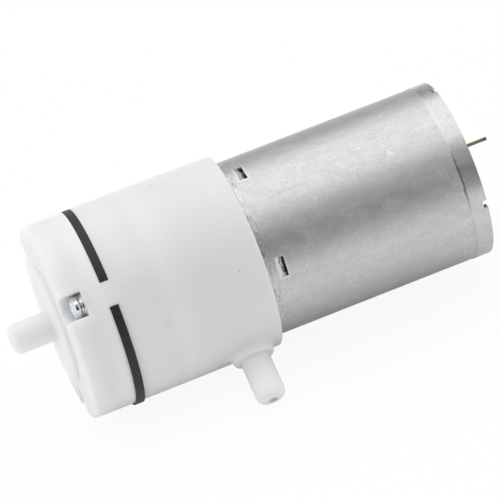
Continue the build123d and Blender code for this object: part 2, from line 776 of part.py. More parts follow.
# Shaft: ground steel, from the eccentric to just inside the end cap's lip
with BuildPart() as shaft:
    with BuildSketch(cross_plane(shaft_front)):
        Circle(shaft_radius)
    extrude(amount=bush_stop - shaft_rear_margin - shaft_front)
shaft.part.label = "shaft"
export_step(shaft.part, "parts/shaft.step")

# Armature core: laminated three-pole star on the shaft
with BuildPart() as armature_core:
    with BuildSketch(cross_plane(core_start)):
        Circle(core_hub_diameter / 2)
        with PolarLocations(0, pole_count):
            Rectangle(core_radius - shoe_thickness / 2, tooth_width, align=(Align.MIN, Align.CENTER))
        for index in range(pole_count):
            ring_sector(
                core_radius - shoe_thickness, core_radius, index * 360 / pole_count, shoe_half_angle
            )
        Circle(shaft_radius, mode=Mode.SUBTRACT)
    extrude(amount=core_length)
armature_core.part.label = "armature_core"
export_step(armature_core.part, "parts/armature_core.step")

# Windings: one copper coil round each pole, with overhangs past both ends of the core
coil_width = tooth_width + 2 * coil_thickness
with BuildPart() as windings:
    with BuildSketch(cross_plane(core_start - coil_overhang)):
        with PolarLocations((coil_inner_radius + coil_outer_radius) / 2, pole_count):
            Rectangle(coil_outer_radius - coil_inner_radius, coil_width)
    extrude(amount=core_length + 2 * coil_overhang)
    ends = windings.faces().filter_by(GeomType.PLANE).filter_by(Axis.X)
    long_edges = ends.edges().filter_by(
        lambda e: abs(e.length - (coil_outer_radius - coil_inner_radius)) < coil_gap
    )
    fillet(long_edges, coil_round)
    with BuildSketch(cross_plane(core_start - coil_gap)):
        with PolarLocations(0, pole_count):
            Rectangle(core_radius, tooth_width + 2 * coil_gap, align=(Align.MIN, Align.CENTER))
    extrude(amount=core_length + 2 * coil_gap, mode=Mode.SUBTRACT)
windings.part.label = "windings"
export_step(windings.part, "parts/windings.step")

# Commutator: moulded hub with three copper segments
commutator_radius = commutator_diameter / 2
with BuildPart() as commutator_hub:
    with BuildSketch(cross_plane(commutator_start)):
        Circle(commutator_radius - segment_thickness)
        Circle(shaft_radius, mode=Mode.SUBTRACT)
    extrude(amount=commutator_length)
commutator_hub.part.label = "commutator_hub"
export_step(commutator_hub.part, "parts/commutator_hub.step")

with BuildPart() as commutator_segments:
    with BuildSketch(cross_plane(commutator_start)):
        for index in range(pole_count):
            ring_sector(
                commutator_radius - segment_thickness,
                commutator_radius,
                (index + 0.5) * 360 / pole_count,
                segment_half_angle,
            )
    extrude(amount=commutator_length)
commutator_segments.part.label = "commutator_segments"
export_step(commutator_segments.part, "parts/commutator_segments.step")

# Varistor: ceramic ring in front of the commutator that quenches its sparks
with BuildPart() as varistor:
    with BuildSketch(cross_plane(varistor_front)):
        Circle(varistor_diameter / 2)
        Circle(spacer_diameter / 2, mode=Mode.SUBTRACT)
    extrude(amount=varistor_thickness)
varistor.part.label = "varistor"
export_step(varistor.part, "parts/varistor.step")

# Shaft spacers: sleeves that set the core and the commutator along the shaft
with BuildPart() as shaft_spacers:
    with BuildSketch(cross_plane(front_bush_rear + spacer_gap)):
        Circle(spacer_diameter / 2)
        Circle(shaft_radius, mode=Mode.SUBTRACT)
    extrude(amount=front_spacer_length)
    with BuildSketch(cross_plane(core_end)):
        Circle(spacer_diameter / 2)
        Circle(shaft_radius, mode=Mode.SUBTRACT)
    extrude(amount=commutator_start - core_end)
shaft_spacers.part.label = "shaft_spacers"
export_step(shaft_spacers.part, "parts/shaft_spacers.step")

# End cap: moulded disc in the rear of the can, with a bearing boss, terminal pads and two vents
with BuildPart() as end_cap:
    with BuildSketch(cross_plane(end_cap_start)):
        Circle(can_bore_radius - end_cap_gap)
    extrude(amount=end_cap_thickness)
    with BuildSketch(cross_plane(end_cap_rear)):
        Circle(end_cap_boss_radius)
    extrude(amount=end_cap_boss_height)
    chamfer(end_cap.faces().sort_by(Axis.X)[-1].edges(), end_cap_boss_chamfer)
    with BuildSketch(cross_plane(end_cap_rear)):
        with PolarLocations(terminal_circle, 2, terminal_angle, rotate=False):
            RectangleRounded(
                terminal_width + 2 * end_cap_pad_wall,
                terminal_thickness + 2 * end_cap_pad_wall,
                end_cap_pad_wall / 2,
            )
    extrude(amount=end_cap_pad_height)
    with BuildSketch(cross_plane(end_cap_start)):
        Circle(bush_diameter / 2)
        with PolarLocations(terminal_circle, 2, terminal_angle, rotate=False):
            Rectangle(
                terminal_width + 2 * terminal_slot_gap, terminal_thickness + 2 * terminal_slot_gap
            )
        with PolarLocations(vent_circle, 2, terminal_angle + 90):
            Circle(vent_diameter / 2)
    extrude(amount=bush_stop - end_cap_start, mode=Mode.SUBTRACT)
    with BuildSketch(cross_plane(bush_stop)):
        Circle(shaft_radius + screw_hole_clearance)
    extrude(amount=end_cap_lip, mode=Mode.SUBTRACT)
end_cap.part.label = "end_cap"
export_step(end_cap.part, "parts/end_cap.step")

# Brush gear: spring arms tangent to the commutator, each with a carbon brush, run to the terminals
brush_middle = commutator_start + commutator_length / 2
chord_length = (terminal_circle**2 - brush_line_radius**2) ** 0.5
brush_angle = terminal_angle + degrees(atan(chord_length / brush_line_radius))
brush_angles = [brush_angle, brush_angle + 180]
arm_run = chord_length - terminal_thickness / 2 / cos(radians(brush_angle))
with BuildPart() as brush_arms:
    for angle in brush_angles:
        with BuildSketch(radial_plane(brush_middle, angle, brush_line_radius)):
            Rectangle(brush_arm_width, 2 * brush_arm_overrun)
            Rectangle(brush_arm_width, arm_run, align=(Align.CENTER, Align.MAX))
        extrude(amount=brush_arm_thickness)
brush_arms.part.label = "brush_arms"
export_step(brush_arms.part, "parts/brush_arms.step")

with BuildPart() as brushes:
    for angle in brush_angles:
        with BuildSketch(radial_plane(brush_middle, angle, brush_line_radius)):
            Rectangle(brush_width, brush_thickness)
        extrude(amount=-brush_line_radius + commutator_radius / 2)
    with BuildSketch(cross_plane(commutator_start)):
        Circle(commutator_radius + brush_gap)
    extrude(amount=commutator_length, mode=Mode.SUBTRACT)
brushes.part.label = "brushes"
export_step(brushes.part, "parts/brushes.step")

# Terminals: two brass tabs through the end cap, their edges towards the screw flank
terminal_front = brush_middle - brush_arm_width / 2
terminal_rear = can_rear + terminal_reach
terminal_offset = terminal_circle * cos(radians(terminal_angle))
with BuildPart() as terminals:
    with BuildSketch(cross_plane(terminal_front)):
        with PolarLocations(terminal_circle, 2, terminal_angle, rotate=False):
            Rectangle(terminal_width, terminal_thickness)
    extrude(amount=terminal_rear - terminal_front)
    with BuildSketch(axial_plane(0)):
        for side in (-1, 1):
            with Locations((can_rear + terminal_reach / 2, side * terminal_offset)):
                Circle(terminal_hole_diameter / 2)
    extrude(amount=terminal_circle, both=True, mode=Mode.SUBTRACT)
terminals.part.label = "terminals"
export_step(terminals.part, "parts/terminals.step")
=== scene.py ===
from math import cos, pi, radians, sin, tau

import bmesh
import bpy
from mathutils import Matrix, Vector


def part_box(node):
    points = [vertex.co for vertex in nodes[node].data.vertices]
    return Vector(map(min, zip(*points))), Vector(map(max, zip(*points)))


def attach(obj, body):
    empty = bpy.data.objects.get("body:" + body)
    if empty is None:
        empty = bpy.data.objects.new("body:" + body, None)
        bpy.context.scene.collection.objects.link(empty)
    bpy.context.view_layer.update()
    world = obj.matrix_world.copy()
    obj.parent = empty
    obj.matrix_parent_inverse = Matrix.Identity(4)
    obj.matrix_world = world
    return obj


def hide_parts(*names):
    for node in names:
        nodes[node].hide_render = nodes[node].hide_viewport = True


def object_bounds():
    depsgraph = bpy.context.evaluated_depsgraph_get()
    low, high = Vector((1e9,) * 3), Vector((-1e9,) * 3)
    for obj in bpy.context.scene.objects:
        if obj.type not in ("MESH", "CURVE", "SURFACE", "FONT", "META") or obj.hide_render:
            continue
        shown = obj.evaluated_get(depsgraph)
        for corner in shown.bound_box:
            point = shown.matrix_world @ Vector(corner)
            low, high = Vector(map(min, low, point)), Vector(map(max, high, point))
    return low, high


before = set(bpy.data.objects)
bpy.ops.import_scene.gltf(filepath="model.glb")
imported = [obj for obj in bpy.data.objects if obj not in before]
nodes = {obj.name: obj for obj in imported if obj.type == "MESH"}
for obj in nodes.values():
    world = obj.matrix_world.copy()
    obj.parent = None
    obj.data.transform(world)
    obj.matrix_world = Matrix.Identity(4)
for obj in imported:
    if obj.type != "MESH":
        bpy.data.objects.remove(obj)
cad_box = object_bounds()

# Front cover: white ABS, moulded in one piece with the pressure nozzle and three open screw pockets. It
# closes the head at the front. The mould was spark eroded, which leaves a fine satin, and the melt has
# cooled unevenly, which leaves slow changes of tone. Light goes a little way into the plastic.
#
# Angles on the pump start at the flank with a screw that looks at the viewer, and grow towards the side
# nozzle. The pump's own frame has X along the axis, Y to that flank and Z a quarter turn further round.
flank_elevation = radians(32.1)
flank = Vector((0, -cos(flank_elevation), sin(flank_elevation)))
quarter = Vector((0, -sin(flank_elevation), -cos(flank_elevation)))
pump_turn = Matrix((Vector((1, 0, 0)), flank, quarter)).transposed().to_4x4()
head_radius = 13.6
mm = 0.001


def spot(x, radius, angle):
    """The place in millimetres at this distance along the axis, radius and angle in degrees."""
    return pump_turn @ Vector((x, radius * cos(radians(angle)), radius * sin(radians(angle))))


def linear(hex_colour):
    """An sRGB hex colour as a linear RGBA value."""
    channels = [int(hex_colour[i:i + 2], 16) / 255 for i in (1, 3, 5)]
    return [c / 12.92 if c <= 0.04045 else ((c + 0.055) / 1.055) ** 2.4 for c in channels] + [1]


def add(tree, kind, values=None, joined=None, **settings):
    """Adds a node. Settings are its own properties, values go into its inputs, and joined links them."""
    node = tree.nodes.new(kind)
    for name, value in settings.items():
        setattr(node, name, value)
    for socket, value in (values or {}).items():
        node.inputs[socket].default_value = value
    for socket, source in (joined or {}).items():
        tree.links.new(source, node.inputs[socket])
    return node


def surface(name, **shader_values):
    """A new material, with its tree, its shader and the object coordinates in millimetres."""
    material = bpy.data.materials.new(name)
    material.use_nodes = True
    tree = material.node_tree
    shader = tree.nodes["Principled BSDF"]
    for title, value in shader_values.items():
        shader.inputs[title.replace("_", " ")].default_value = value
    metres = add(tree, "ShaderNodeTexCoord").outputs["Object"]
    place = add(tree, "ShaderNodeVectorMath", {"Scale": 1 / mm}, {0: metres}, operation="SCALE").outputs[0]
    return material, tree, shader, place


light_weight = 0.75
light_start = 0.4
light_reach = 3.0
satin_spread = 0.05
mark_grime = "#6F6C66"


def moulded(
    name, colour, shade, roughness, flow=9.0, grain=0.22, depth=0.0025, marks=(), joints=(), **shader_values
):
    """Moulded plastic or rubber. Its tone drifts over the flow length and its satin has this grain. Marks
    of gates and pins are (place, radius, depth, darkness). Light goes into the plastic, but no further
    than the faces where it meets its neighbours, which stand at these joints along the axis. The real
    grain of a spark-eroded mould is under 0.05 mm, and is drawn coarser, so that it shows as satin."""
    material, tree, shader, place = surface(name, **shader_values)
    drift = add(
        tree, "ShaderNodeTexNoise", {"Scale": 1 / flow, "Detail": 3, "Roughness": 0.45}, {"Vector": place}
    ).outputs[0]
    tone = add(
        tree, "ShaderNodeMix", {6: linear(colour), 7: linear(shade)}, {0: drift}, data_type="RGBA"
    ).outputs[2]
    satin = add(tree, "ShaderNodeTexNoise", {"Scale": 1 / grain, "Detail": 2}, {"Vector": place}).outputs[0]
    rough = add(
        tree,
        "ShaderNodeMapRange",
        {"To Min": roughness - satin_spread, "To Max": roughness + satin_spread},
        {"Value": satin},
    ).outputs[0]
    height = add(tree, "ShaderNodeMath", {1: depth}, {0: satin}, operation="MULTIPLY").outputs[0]
    for centre, radius, dent, darkness in marks:
        gap = add(tree, "ShaderNodeVectorMath", {1: centre}, {0: place}, operation="DISTANCE")
        inside = add(
            tree,
            "ShaderNodeMapRange",
            {"From Min": radius, "From Max": 0.6 * radius, "To Min": 0.0, "To Max": 1.0},
            {"Value": gap.outputs["Value"]},
            interpolation_type="SMOOTHSTEP",
        ).outputs[0]
        height = add(
            tree, "ShaderNodeMath", {1: -dent}, {0: inside, 2: height}, operation="MULTIPLY_ADD"
        ).outputs[0]
        cover = add(tree, "ShaderNodeMath", {1: darkness}, {0: inside}, operation="MULTIPLY").outputs[0]
        tone = add(
            tree, "ShaderNodeMix", {7: linear(mark_grime)}, {0: cover, 6: tone}, data_type="RGBA"
        ).outputs[2]
    relief = add(tree, "ShaderNodeBump", {"Distance": mm}, {"Height": height})
    light_share = None
    for joint in joints:
        station = add(tree, "ShaderNodeSeparateXYZ", None, {0: place}).outputs["X"]
        away = add(tree, "ShaderNodeMath", {1: joint}, {0: station}, operation="SUBTRACT").outputs[0]
        away = add(tree, "ShaderNodeMath", None, {0: away}, operation="ABSOLUTE").outputs[0]
        share = add(
            tree,
            "ShaderNodeMapRange",
            {"From Min": light_start, "From Max": light_reach, "To Min": 0.0, "To Max": light_weight},
            {"Value": away},
            interpolation_type="SMOOTHSTEP",
        ).outputs[0]
        if light_share:
            nearer = {0: light_share, 1: share}
            share = add(tree, "ShaderNodeMath", None, nearer, operation="MINIMUM").outputs[0]
        light_share = share
        tree.links.new(light_share, shader.inputs["Subsurface Weight"])
    tree.links.new(tone, shader.inputs["Base Color"])
    tree.links.new(rough, shader.inputs["Roughness"])
    tree.links.new(relief.outputs[0], shader.inputs["Normal"])
    return material, tree, shader, place, tone, height, relief


def dress(material, *node_names):
    """Gives carried-over CAD nodes their finish."""
    for name in node_names:
        nodes[name].data.materials.clear()
        nodes[name].data.materials.append(material)


white_gloss = dict(
    IOR=1.53, Subsurface_Radius=(1.0, 0.97, 0.92), Subsurface_Scale=0.0025, Specular_IOR_Level=0.4
)
pocket_speck = (spot(-24.7, head_radius, 6.4), 0.26, 0.015, 0.13)
pin_mark = (spot(-27.7, 7.0, 60), 0.9, 0.02, 0.05)
seat_joint = -21.2
cover_plastic, tree, shader, place, tone, height, relief = moulded(
    "satin_white_abs_cover",
    "#F8F8FA",
    "#F3F3F5",
    0.4,
    marks=(pocket_speck, pin_mark),
    joints=(seat_joint,),
    **white_gloss,
)
# The pressure nozzle lets light through its slender wall, and that light is painted: its colour is lifted
# towards white from the root to the free end.
nozzle_root = -27.9
nozzle_free = -29.2
station = add(tree, "ShaderNodeSeparateXYZ", None, {0: place}).outputs["X"]
nozzle_painted_glow = add(
    tree,
    "ShaderNodeMapRange",
    {"From Min": nozzle_root, "From Max": nozzle_free, "To Min": 0.0, "To Max": 1.0},
    {"Value": station},
).outputs[0]
tone = add(tree, "ShaderNodeMix", {7: linear("#FFFFFF")}, {0: nozzle_painted_glow, 6: tone}, data_type="RGBA").outputs[2]
# The walls of the screw pockets are slender too, so light gets into the pockets from all sides. Round each
# pocket this is painted as light, with the colour lifted towards white, and the subsurface weight is raised
# there as well.
screw_count = 3
screw_angle = -5.0
pocket_middle = -25.4
pocket_circle = 12.2
pocket_reach = 3.4
pocket_core = 2.6
for turn in range(screw_count):
    pocket = spot(pocket_middle, pocket_circle, screw_angle + 360 / screw_count * turn)
    gap = add(tree, "ShaderNodeVectorMath", {1: pocket}, {0: place}, operation="DISTANCE").outputs["Value"]
    pocket_painted_light = add(
        tree,
        "ShaderNodeMapRange",
        {"From Min": pocket_reach, "From Max": pocket_core, "To Min": 0.0, "To Max": 1.0},
        {"Value": gap},
        interpolation_type="SMOOTHSTEP",
    ).outputs[0]
    tone = add(tree, "ShaderNodeMix", {7: linear("#FFFFFF")}, {0: pocket_painted_light, 6: tone}, data_type="RGBA").outputs[2]
    deep = shader.inputs["Subsurface Weight"].links[0].from_socket
    deep = add(tree, "ShaderNodeMath", None, {0: deep, 1: pocket_painted_light}, operation="MAXIMUM").outputs[0]
    tree.links.new(deep, shader.inputs["Subsurface Weight"])
tree.links.new(tone, shader.inputs["Base Color"])
dress(cover_plastic, "front_cover")

# Valve plate: a stiff white ABS disc in the cover's recess that carries the three inlet valves and the
# outlet valve. It is moulded like the cover and can't be seen from outside.
plate_finish = moulded(
    "satin_white_abs_plate", "#F0F0F0", "#E8E8E8", 0.45, joints=(seat_joint,), **white_gloss
)
dress(plate_finish[0], "valve_plate")

# Inlet valves and outlet valve: umbrella valves of soft black nitrile rubber, pulled through their holes
# by the stem. Rubber is dull and drinks light, with a faint bloom of wax on it.
rubber_bloom = dict(IOR=1.5, Sheen_Weight=0.08, Sheen_Roughness=0.5)
valve_rubber = moulded(
    "nitrile_rubber_valve", "#232325", "#2E2E30", 0.6, flow=3.0, grain=0.15, **rubber_bloom
)
dress(valve_rubber[0], "inlet_valves", "outlet_valve")


# Diaphragm: one sheet of black nitrile rubber with three cups, cured in a mould. The screws squeeze it
# between cover and seat, so its rim bulges out of the joint with rounded, slightly uneven edges.
def merged_copy(node_name):
    """A copy of a CAD node's mesh as one closed skin with flat faces in one piece."""
    skin = bmesh.new()
    skin.from_mesh(nodes[node_name].data)
    bmesh.ops.remove_doubles(skin, verts=skin.verts, dist=0.002 * mm)
    bmesh.ops.dissolve_limit(skin, angle_limit=radians(1), verts=skin.verts, edges=skin.edges)
    mesh = bpy.data.meshes.new(node_name + "_copy")
    skin.to_mesh(mesh)
    skin.free()
    return mesh


def settled(name, mesh, *modifiers):
    """The mesh of a piece after its modifiers, each a (kind, settings) pair."""
    carrier = bpy.data.objects.new(name, mesh)
    bpy.context.scene.collection.objects.link(carrier)
    for kind, settings in modifiers:
        modifier = carrier.modifiers.new(kind.lower(), kind)
        for title, value in settings.items():
            setattr(modifier, title, value)
    result = bpy.data.meshes.new_from_object(carrier.evaluated_get(bpy.context.evaluated_depsgraph_get()))
    bpy.data.objects.remove(carrier)
    return result


def instead(node_name, name, mesh, material, body="pump_body"):
    """Puts a finished mesh in the scene in place of a CAD node."""
    mesh.materials.clear()
    mesh.materials.append(material)
    piece = bpy.data.objects.new(name, mesh)
    bpy.context.scene.collection.objects.link(piece)
    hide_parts(node_name)
    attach(piece, body)
    return piece


def without(mesh, point, way):
    """The mesh without what lies beyond the plane through the point, on the side of this way, and closed."""
    skin = bmesh.new()
    skin.from_mesh(mesh)
    whole = skin.verts[:] + skin.edges[:] + skin.faces[:]
    cut = bmesh.ops.bisect_plane(skin, geom=whole, plane_co=point, plane_no=way, clear_outer=True)["geom_cut"]
    rims = [e for e in cut if isinstance(e, bmesh.types.BMEdge)]
    bmesh.ops.triangle_fill(skin, edges=rims, use_beauty=True, normal=way)
    bmesh.ops.recalc_face_normals(skin, faces=skin.faces)
    skin.to_mesh(mesh)
    skin.free()
    return mesh


# The rubber gives between the sheet, which stays, and the cup floors, which nod with the rocker. Each cup is
# drawn in two sleeves there: one hangs from the sheet, and the other slides inside it with the floor.
fulcrum = Vector((-14.0, 0, 0))
pin_way = Vector((0.995495473, 0, -0.094809093))
cup_circle = 6.3
first_cup = 55
floor_radius = 2.6
floor_rear = -1.2
cup_spread = 1.9 / 4.8
sleeve_radius = 1.95
sleeve_front = -4.6
sheet_sleeve_end = Vector((-18.3, 0, 0))
sheet_mesh = without(merged_copy("diaphragm"), sheet_sleeve_end * mm, Vector((1, 0, 0)))
cups_mesh = without(merged_copy("diaphragm"), (fulcrum + sleeve_front * pin_way) * mm, -pin_way)
lean = Vector((1, 0, 0)).rotation_difference(pin_way)
cup_axes = [fulcrum + lean @ spot(0, cup_circle, first_cup + k * 120) for k in range(3)]
for corner in cups_mesh.vertices:
    place = corner.co / mm
    along = (place - fulcrum).dot(pin_way)
    if along < floor_rear - 0.01:
        feet = [a + along * pin_way for a in cup_axes]
        foot = min(feet, key=lambda f: (place - f).length)
        outside = floor_radius + cup_spread * (floor_rear - along)
        corner.co = (foot + (place - foot) * sleeve_radius / outside) * mm
rim_round = dict(
    width=0.18 * mm, segments=3, limit_method="ANGLE", angle_limit=radians(50), use_clamp_overlap=True
)
sheet_mesh = settled("diaphragm_sheet", sheet_mesh, ("BEVEL", rim_round))
cups_mesh = settled("diaphragm_cups", cups_mesh, ("BEVEL", rim_round))
for mesh in (sheet_mesh, cups_mesh):
    mesh.polygons.foreach_set("use_smooth", [True] * len(mesh.polygons))
    mesh.set_sharp_from_angle(angle=radians(40))
sheet_rubber = moulded(
    "nitrile_rubber_sheet", "#0C0C0E", "#1D1D20", 0.55, flow=1.6, grain=0.3, depth=0.02, **rubber_bloom
)
instead("diaphragm", "diaphragm_sheet", sheet_mesh, sheet_rubber[0])
instead("diaphragm", "diaphragm_cups", cups_mesh, sheet_rubber[0], body="rocker")

# Diaphragm seat: white ABS ring with the cup bores. Its outside carries one shallow round pin mark,
# pushed into the warm plastic by the ejector, and three bridges reach over the rubber to the cover.
case_joint = -12.2
ejector_mark = (spot(-14.4, head_radius, 23.4), 0.75, 0.03, 0.06)
seat_finish = moulded(
    "satin_white_abs_seat",
    "#F3F3F5",
    "#EEEEF0",
    0.4,
    marks=(ejector_mark,),
    joints=(seat_joint, case_joint),
    **white_gloss,
)
dress(seat_finish[0], "diaphragm_seat")

# Crankcase: cup of a slightly warmer white ABS with the suction nozzle on its side, screwed to the motor.
# Its front edge meets the seat in a hair line, and handling has left a few grey specks.
joint_width = 0.12
joint_shade = 0.06
joint_depth = 0.006
case_marks = (
    (spot(-3.6, head_radius, 9.8), 0.2, 0.015, 0.33),
    (spot(-9.3, head_radius, -67.2), 0.35, 0.04, 0.08),
    (spot(-7.4, head_radius, 31), 0.13, 0.01, 0.25),
    (spot(-17.0, head_radius, -28), 0.13, 0.01, 0.2),
)
case_finish, tree, shader, place, tone, height, relief = moulded(
    "satin_white_abs_case", "#F2F2F1", "#ECECEB", 0.4, marks=case_marks, joints=(case_joint,), **white_gloss
)
station = add(tree, "ShaderNodeSeparateXYZ", None, {0: place}).outputs["X"]
hair_line = add(
    tree,
    "ShaderNodeMapRange",
    {"From Min": case_joint, "From Max": case_joint + joint_width, "To Min": 1.0, "To Max": 0.0},
    {"Value": station},
).outputs[0]
line_shade = add(tree, "ShaderNodeMath", {1: joint_shade}, {0: hair_line}, operation="MULTIPLY").outputs[0]
lined_tone = add(
    tree, "ShaderNodeMix", {7: linear("#8E8D89")}, {0: line_shade, 6: tone}, data_type="RGBA"
).outputs[2]
lined_height = add(
    tree, "ShaderNodeMath", {1: -joint_depth}, {0: hair_line, 2: height}, operation="MULTIPLY_ADD"
).outputs[0]
# The wall of the nozzle is slender, so daylight comes through it and it looks whiter than the case. This is
# painted as light, with the colour lifted towards white towards the tip, and the subsurface is cut back
# there.
nozzle_start = 15.2
nozzle_tip = 18.5
off_axis = add(tree, "ShaderNodeVectorMath", {1: (0, 1, 1)}, {0: place}, operation="MULTIPLY").outputs[0]
off_axis = add(tree, "ShaderNodeVectorMath", None, {0: off_axis}, operation="LENGTH").outputs["Value"]
nozzle_painted_glow = add(
    tree,
    "ShaderNodeMapRange",
    {"From Min": nozzle_start, "From Max": nozzle_tip, "To Min": 0.0, "To Max": 1.0},
    {"Value": off_axis},
).outputs[0]
lined_tone = add(
    tree, "ShaderNodeMix", {7: linear("#FFFFFF")}, {0: nozzle_painted_glow, 6: lined_tone}, data_type="RGBA"
).outputs[2]
deep = shader.inputs["Subsurface Weight"].links[0].from_socket
shallow = add(tree, "ShaderNodeMath", {0: 1.0}, {1: nozzle_painted_glow}, operation="SUBTRACT").outputs[0]
deep = add(tree, "ShaderNodeMath", None, {0: deep, 1: shallow}, operation="MULTIPLY").outputs[0]
tree.links.new(deep, shader.inputs["Subsurface Weight"])
tree.links.new(lined_tone, shader.inputs["Base Color"])
tree.links.new(lined_height, relief.inputs["Height"])
dress(case_finish, "crankcase")

# Rocker: three arms of grey acetal, moulded in one piece. It runs dry on the steel pin and looks waxy,
# and the stems of the cups are buttoned into its arms.
dress(moulded("waxy_grey_acetal", "#8E8F92", "#84858A", 0.32, flow=5.0, IOR=1.48)[0], "rocker")

# Eccentric and shaft spacers: black glass-filled nylon, pressed on the shaft. The glass shows as a grey
# mottle in the skin.
filled_nylon = moulded(
    "glass_filled_black_nylon", "#1F1F21", "#303033", 0.5, flow=1.2, depth=0.006, IOR=1.53
)
dress(filled_nylon[0], "eccentric", "shaft_spacers")


# Drive pin and motor shaft: hardened steel, ground between centres, which leaves fine bright rings round
# them. The pin is pressed into the eccentric, and the shaft carries the whole rotor.
def metal(
    name, colour, dull, roughness, stretch=(1, 1, 1), grain=0.2, depth=0.002, spread=0.06, **shader_values
):
    """Bare or plated metal. Its working marks have this grain and are stretched along the axes where
    the stretch is small, and tone, gloss and relief follow them. Real marks of tools and rolls are
    0.01 to 0.05 mm apart, and are drawn coarser, so that they give the eye their direction."""
    material, tree, shader, place = surface(name, Metallic=1.0, **shader_values)
    along = add(tree, "ShaderNodeVectorMath", {1: stretch}, {0: place}, operation="MULTIPLY").outputs[0]
    lines = add(
        tree, "ShaderNodeTexNoise", {"Scale": 1 / grain, "Detail": 4, "Roughness": 0.6}, {"Vector": along}
    ).outputs[0]
    tone = add(
        tree, "ShaderNodeMix", {6: linear(colour), 7: linear(dull)}, {0: lines}, data_type="RGBA"
    ).outputs[2]
    rough = add(
        tree,
        "ShaderNodeMapRange",
        {"To Min": roughness - spread, "To Max": roughness + spread},
        {"Value": lines},
    ).outputs[0]
    height = add(tree, "ShaderNodeMath", {1: depth}, {0: lines}, operation="MULTIPLY").outputs[0]
    relief = add(tree, "ShaderNodeBump", {"Distance": mm}, {"Height": height})
    tree.links.new(tone, shader.inputs["Base Color"])
    tree.links.new(rough, shader.inputs["Roughness"])
    tree.links.new(relief.outputs[0], shader.inputs["Normal"])
    return material, tree, shader, place, tone, rough, height, relief


rings = (1, 0.03, 0.03)
dress(metal("ground_steel", "#C9CACC", "#B4B5B8", 0.18, stretch=rings, grain=0.12)[0], "drive_pin", "shaft")


# Head screws: three M1.6 screws of bright nickel-plated steel with round heads. The heads are cold
# formed with a cross recess, the threads rolled, and each is driven through the whole head of the pump.
def turned(profile, steps, start=0.0):
    """A closed skin turned round X from (x, radius) points that begin and end on the axis."""
    skin = bmesh.new()
    first = skin.verts.new((profile[0][0], 0, 0))
    last = skin.verts.new((profile[-1][0], 0, 0))
    loops = []
    for x, radius in profile[1:-1]:
        turns = [start + tau * k / steps for k in range(steps)]
        loops.append([skin.verts.new((x, radius * cos(a), radius * sin(a))) for a in turns])
    for k in range(steps):
        after = (k + 1) % steps
        skin.faces.new((first, loops[0][after], loops[0][k]))
        skin.faces.new((last, loops[-1][k], loops[-1][after]))
        for near, far in zip(loops, loops[1:]):
            skin.faces.new((near[k], near[after], far[after], far[k]))
    bmesh.ops.recalc_face_normals(skin, faces=skin.faces)
    return skin


def mesh_of(name, skin, smooth=40):
    """The skin as a mesh, smooth up to this angle in degrees."""
    mesh = bpy.data.meshes.new(name)
    skin.to_mesh(mesh)
    skin.free()
    mesh.polygons.foreach_set("use_smooth", [True] * len(mesh.polygons))
    mesh.set_sharp_from_angle(angle=radians(smooth))
    return mesh


def new_tree(name, **sockets):
    """A Geometry Nodes tree with named inputs, each a (kind, default) pair, and its two end nodes."""
    tree = bpy.data.node_groups.new(name, "GeometryNodeTree")
    tree.interface.new_socket("Geometry", in_out="OUTPUT", socket_type="NodeSocketGeometry")
    for title, (kind, default) in sockets.items():
        title = title.replace("_", " ")
        socket = tree.interface.new_socket(title, in_out="INPUT", socket_type="NodeSocket" + kind)
        if default is not None:
            socket.default_value = default
    return tree, add(tree, "NodeGroupInput").outputs, add(tree, "NodeGroupOutput")


def grown(name, tree, **sizes):
    """The plain mesh, in metres and in place on the pump, that a tree grows with these input values."""
    carrier = bpy.data.objects.new(name, bpy.data.meshes.new(name))
    bpy.context.scene.collection.objects.link(carrier)
    modifier = carrier.modifiers.new(name, "NODES")
    modifier.node_group = tree
    names = {i.name: i.identifier for i in tree.interface.items_tree if i.in_out == "INPUT"}
    for title, value in sizes.items():
        modifier[names[title.replace("_", " ")]] = value
    mesh = bpy.data.meshes.new_from_object(carrier.evaluated_get(bpy.context.evaluated_depsgraph_get()))
    bpy.data.objects.remove(carrier)
    mesh.transform(pump_turn @ Matrix.Scale(mm, 4))
    return mesh


screw_circle = 11.3
screw_head_radius = 1.55
screw_head_height = 1.2
screw_head_round = 1.0
screw_crown_height = 0.82
screw_foot_radius = 1.38
screw_seat = -24.6
screw_length = 16.0
thread_radius = 0.8
thread_pitch = 0.35
thread_depth = 0.19
recess_depth = 0.85
recess_mouth = (-0.3, 2.1952, 0.529)
recess_floor = (recess_depth, 1.078, 0.322)
crown = screw_head_radius - screw_head_round
shoulder = -screw_head_height + screw_crown_height
foot_round = screw_head_radius - screw_foot_radius
crown_steps = 10
foot_steps = 5
head_profile = [(-screw_head_height, 0), (-screw_head_height, 0.5 * crown)]
for step in range(crown_steps + 1):
    turn = 0.5 * pi * step / crown_steps
    head_profile.append((shoulder - screw_crown_height * cos(turn), crown + screw_head_round * sin(turn)))
for step in range(1, foot_steps):
    turn = 0.5 * pi * step / foot_steps
    head_profile.append((shoulder - shoulder * sin(turn), screw_foot_radius + foot_round * cos(turn)))
head_profile += [(0, screw_foot_radius), (0, 0)]
screw_head = mesh_of("screw_head", turned(head_profile, 48))

# Each half of the cross is a wedge that narrows downwards, as the punch does. Its mouth and its floor
# are each a depth, a length and a width.
wings = []
for turn in (0, 0.5 * pi):
    wing = bmesh.new()
    bmesh.ops.create_cube(wing, size=1)
    for corner in wing.verts:
        down, along, across = recess_floor if corner.co.x > 0 else recess_mouth
        corner.co = Vector((-screw_head_height + down, corner.co.y * along, corner.co.z * across))
    wing.transform(Matrix.Rotation(turn, 4, "X"))
    bmesh.ops.recalc_face_normals(wing, faces=wing.faces)
    wings.append(bpy.data.objects.new("wing", mesh_of("wing", wing)))
recess_cuts = [("BOOLEAN", dict(object=wing, operation="DIFFERENCE", solver="EXACT")) for wing in wings]
recess_round = dict(width=0.035, segments=2, limit_method="ANGLE", angle_limit=radians(40))
screw_head = settled("screw_head", screw_head, *recess_cuts, ("BEVEL", recess_round))
screw_head.polygons.foreach_set("use_smooth", [True] * len(screw_head.polygons))
screw_head.set_sharp_from_angle(angle=radians(30))
head_source = bpy.data.objects.new("screw_head", screw_head)

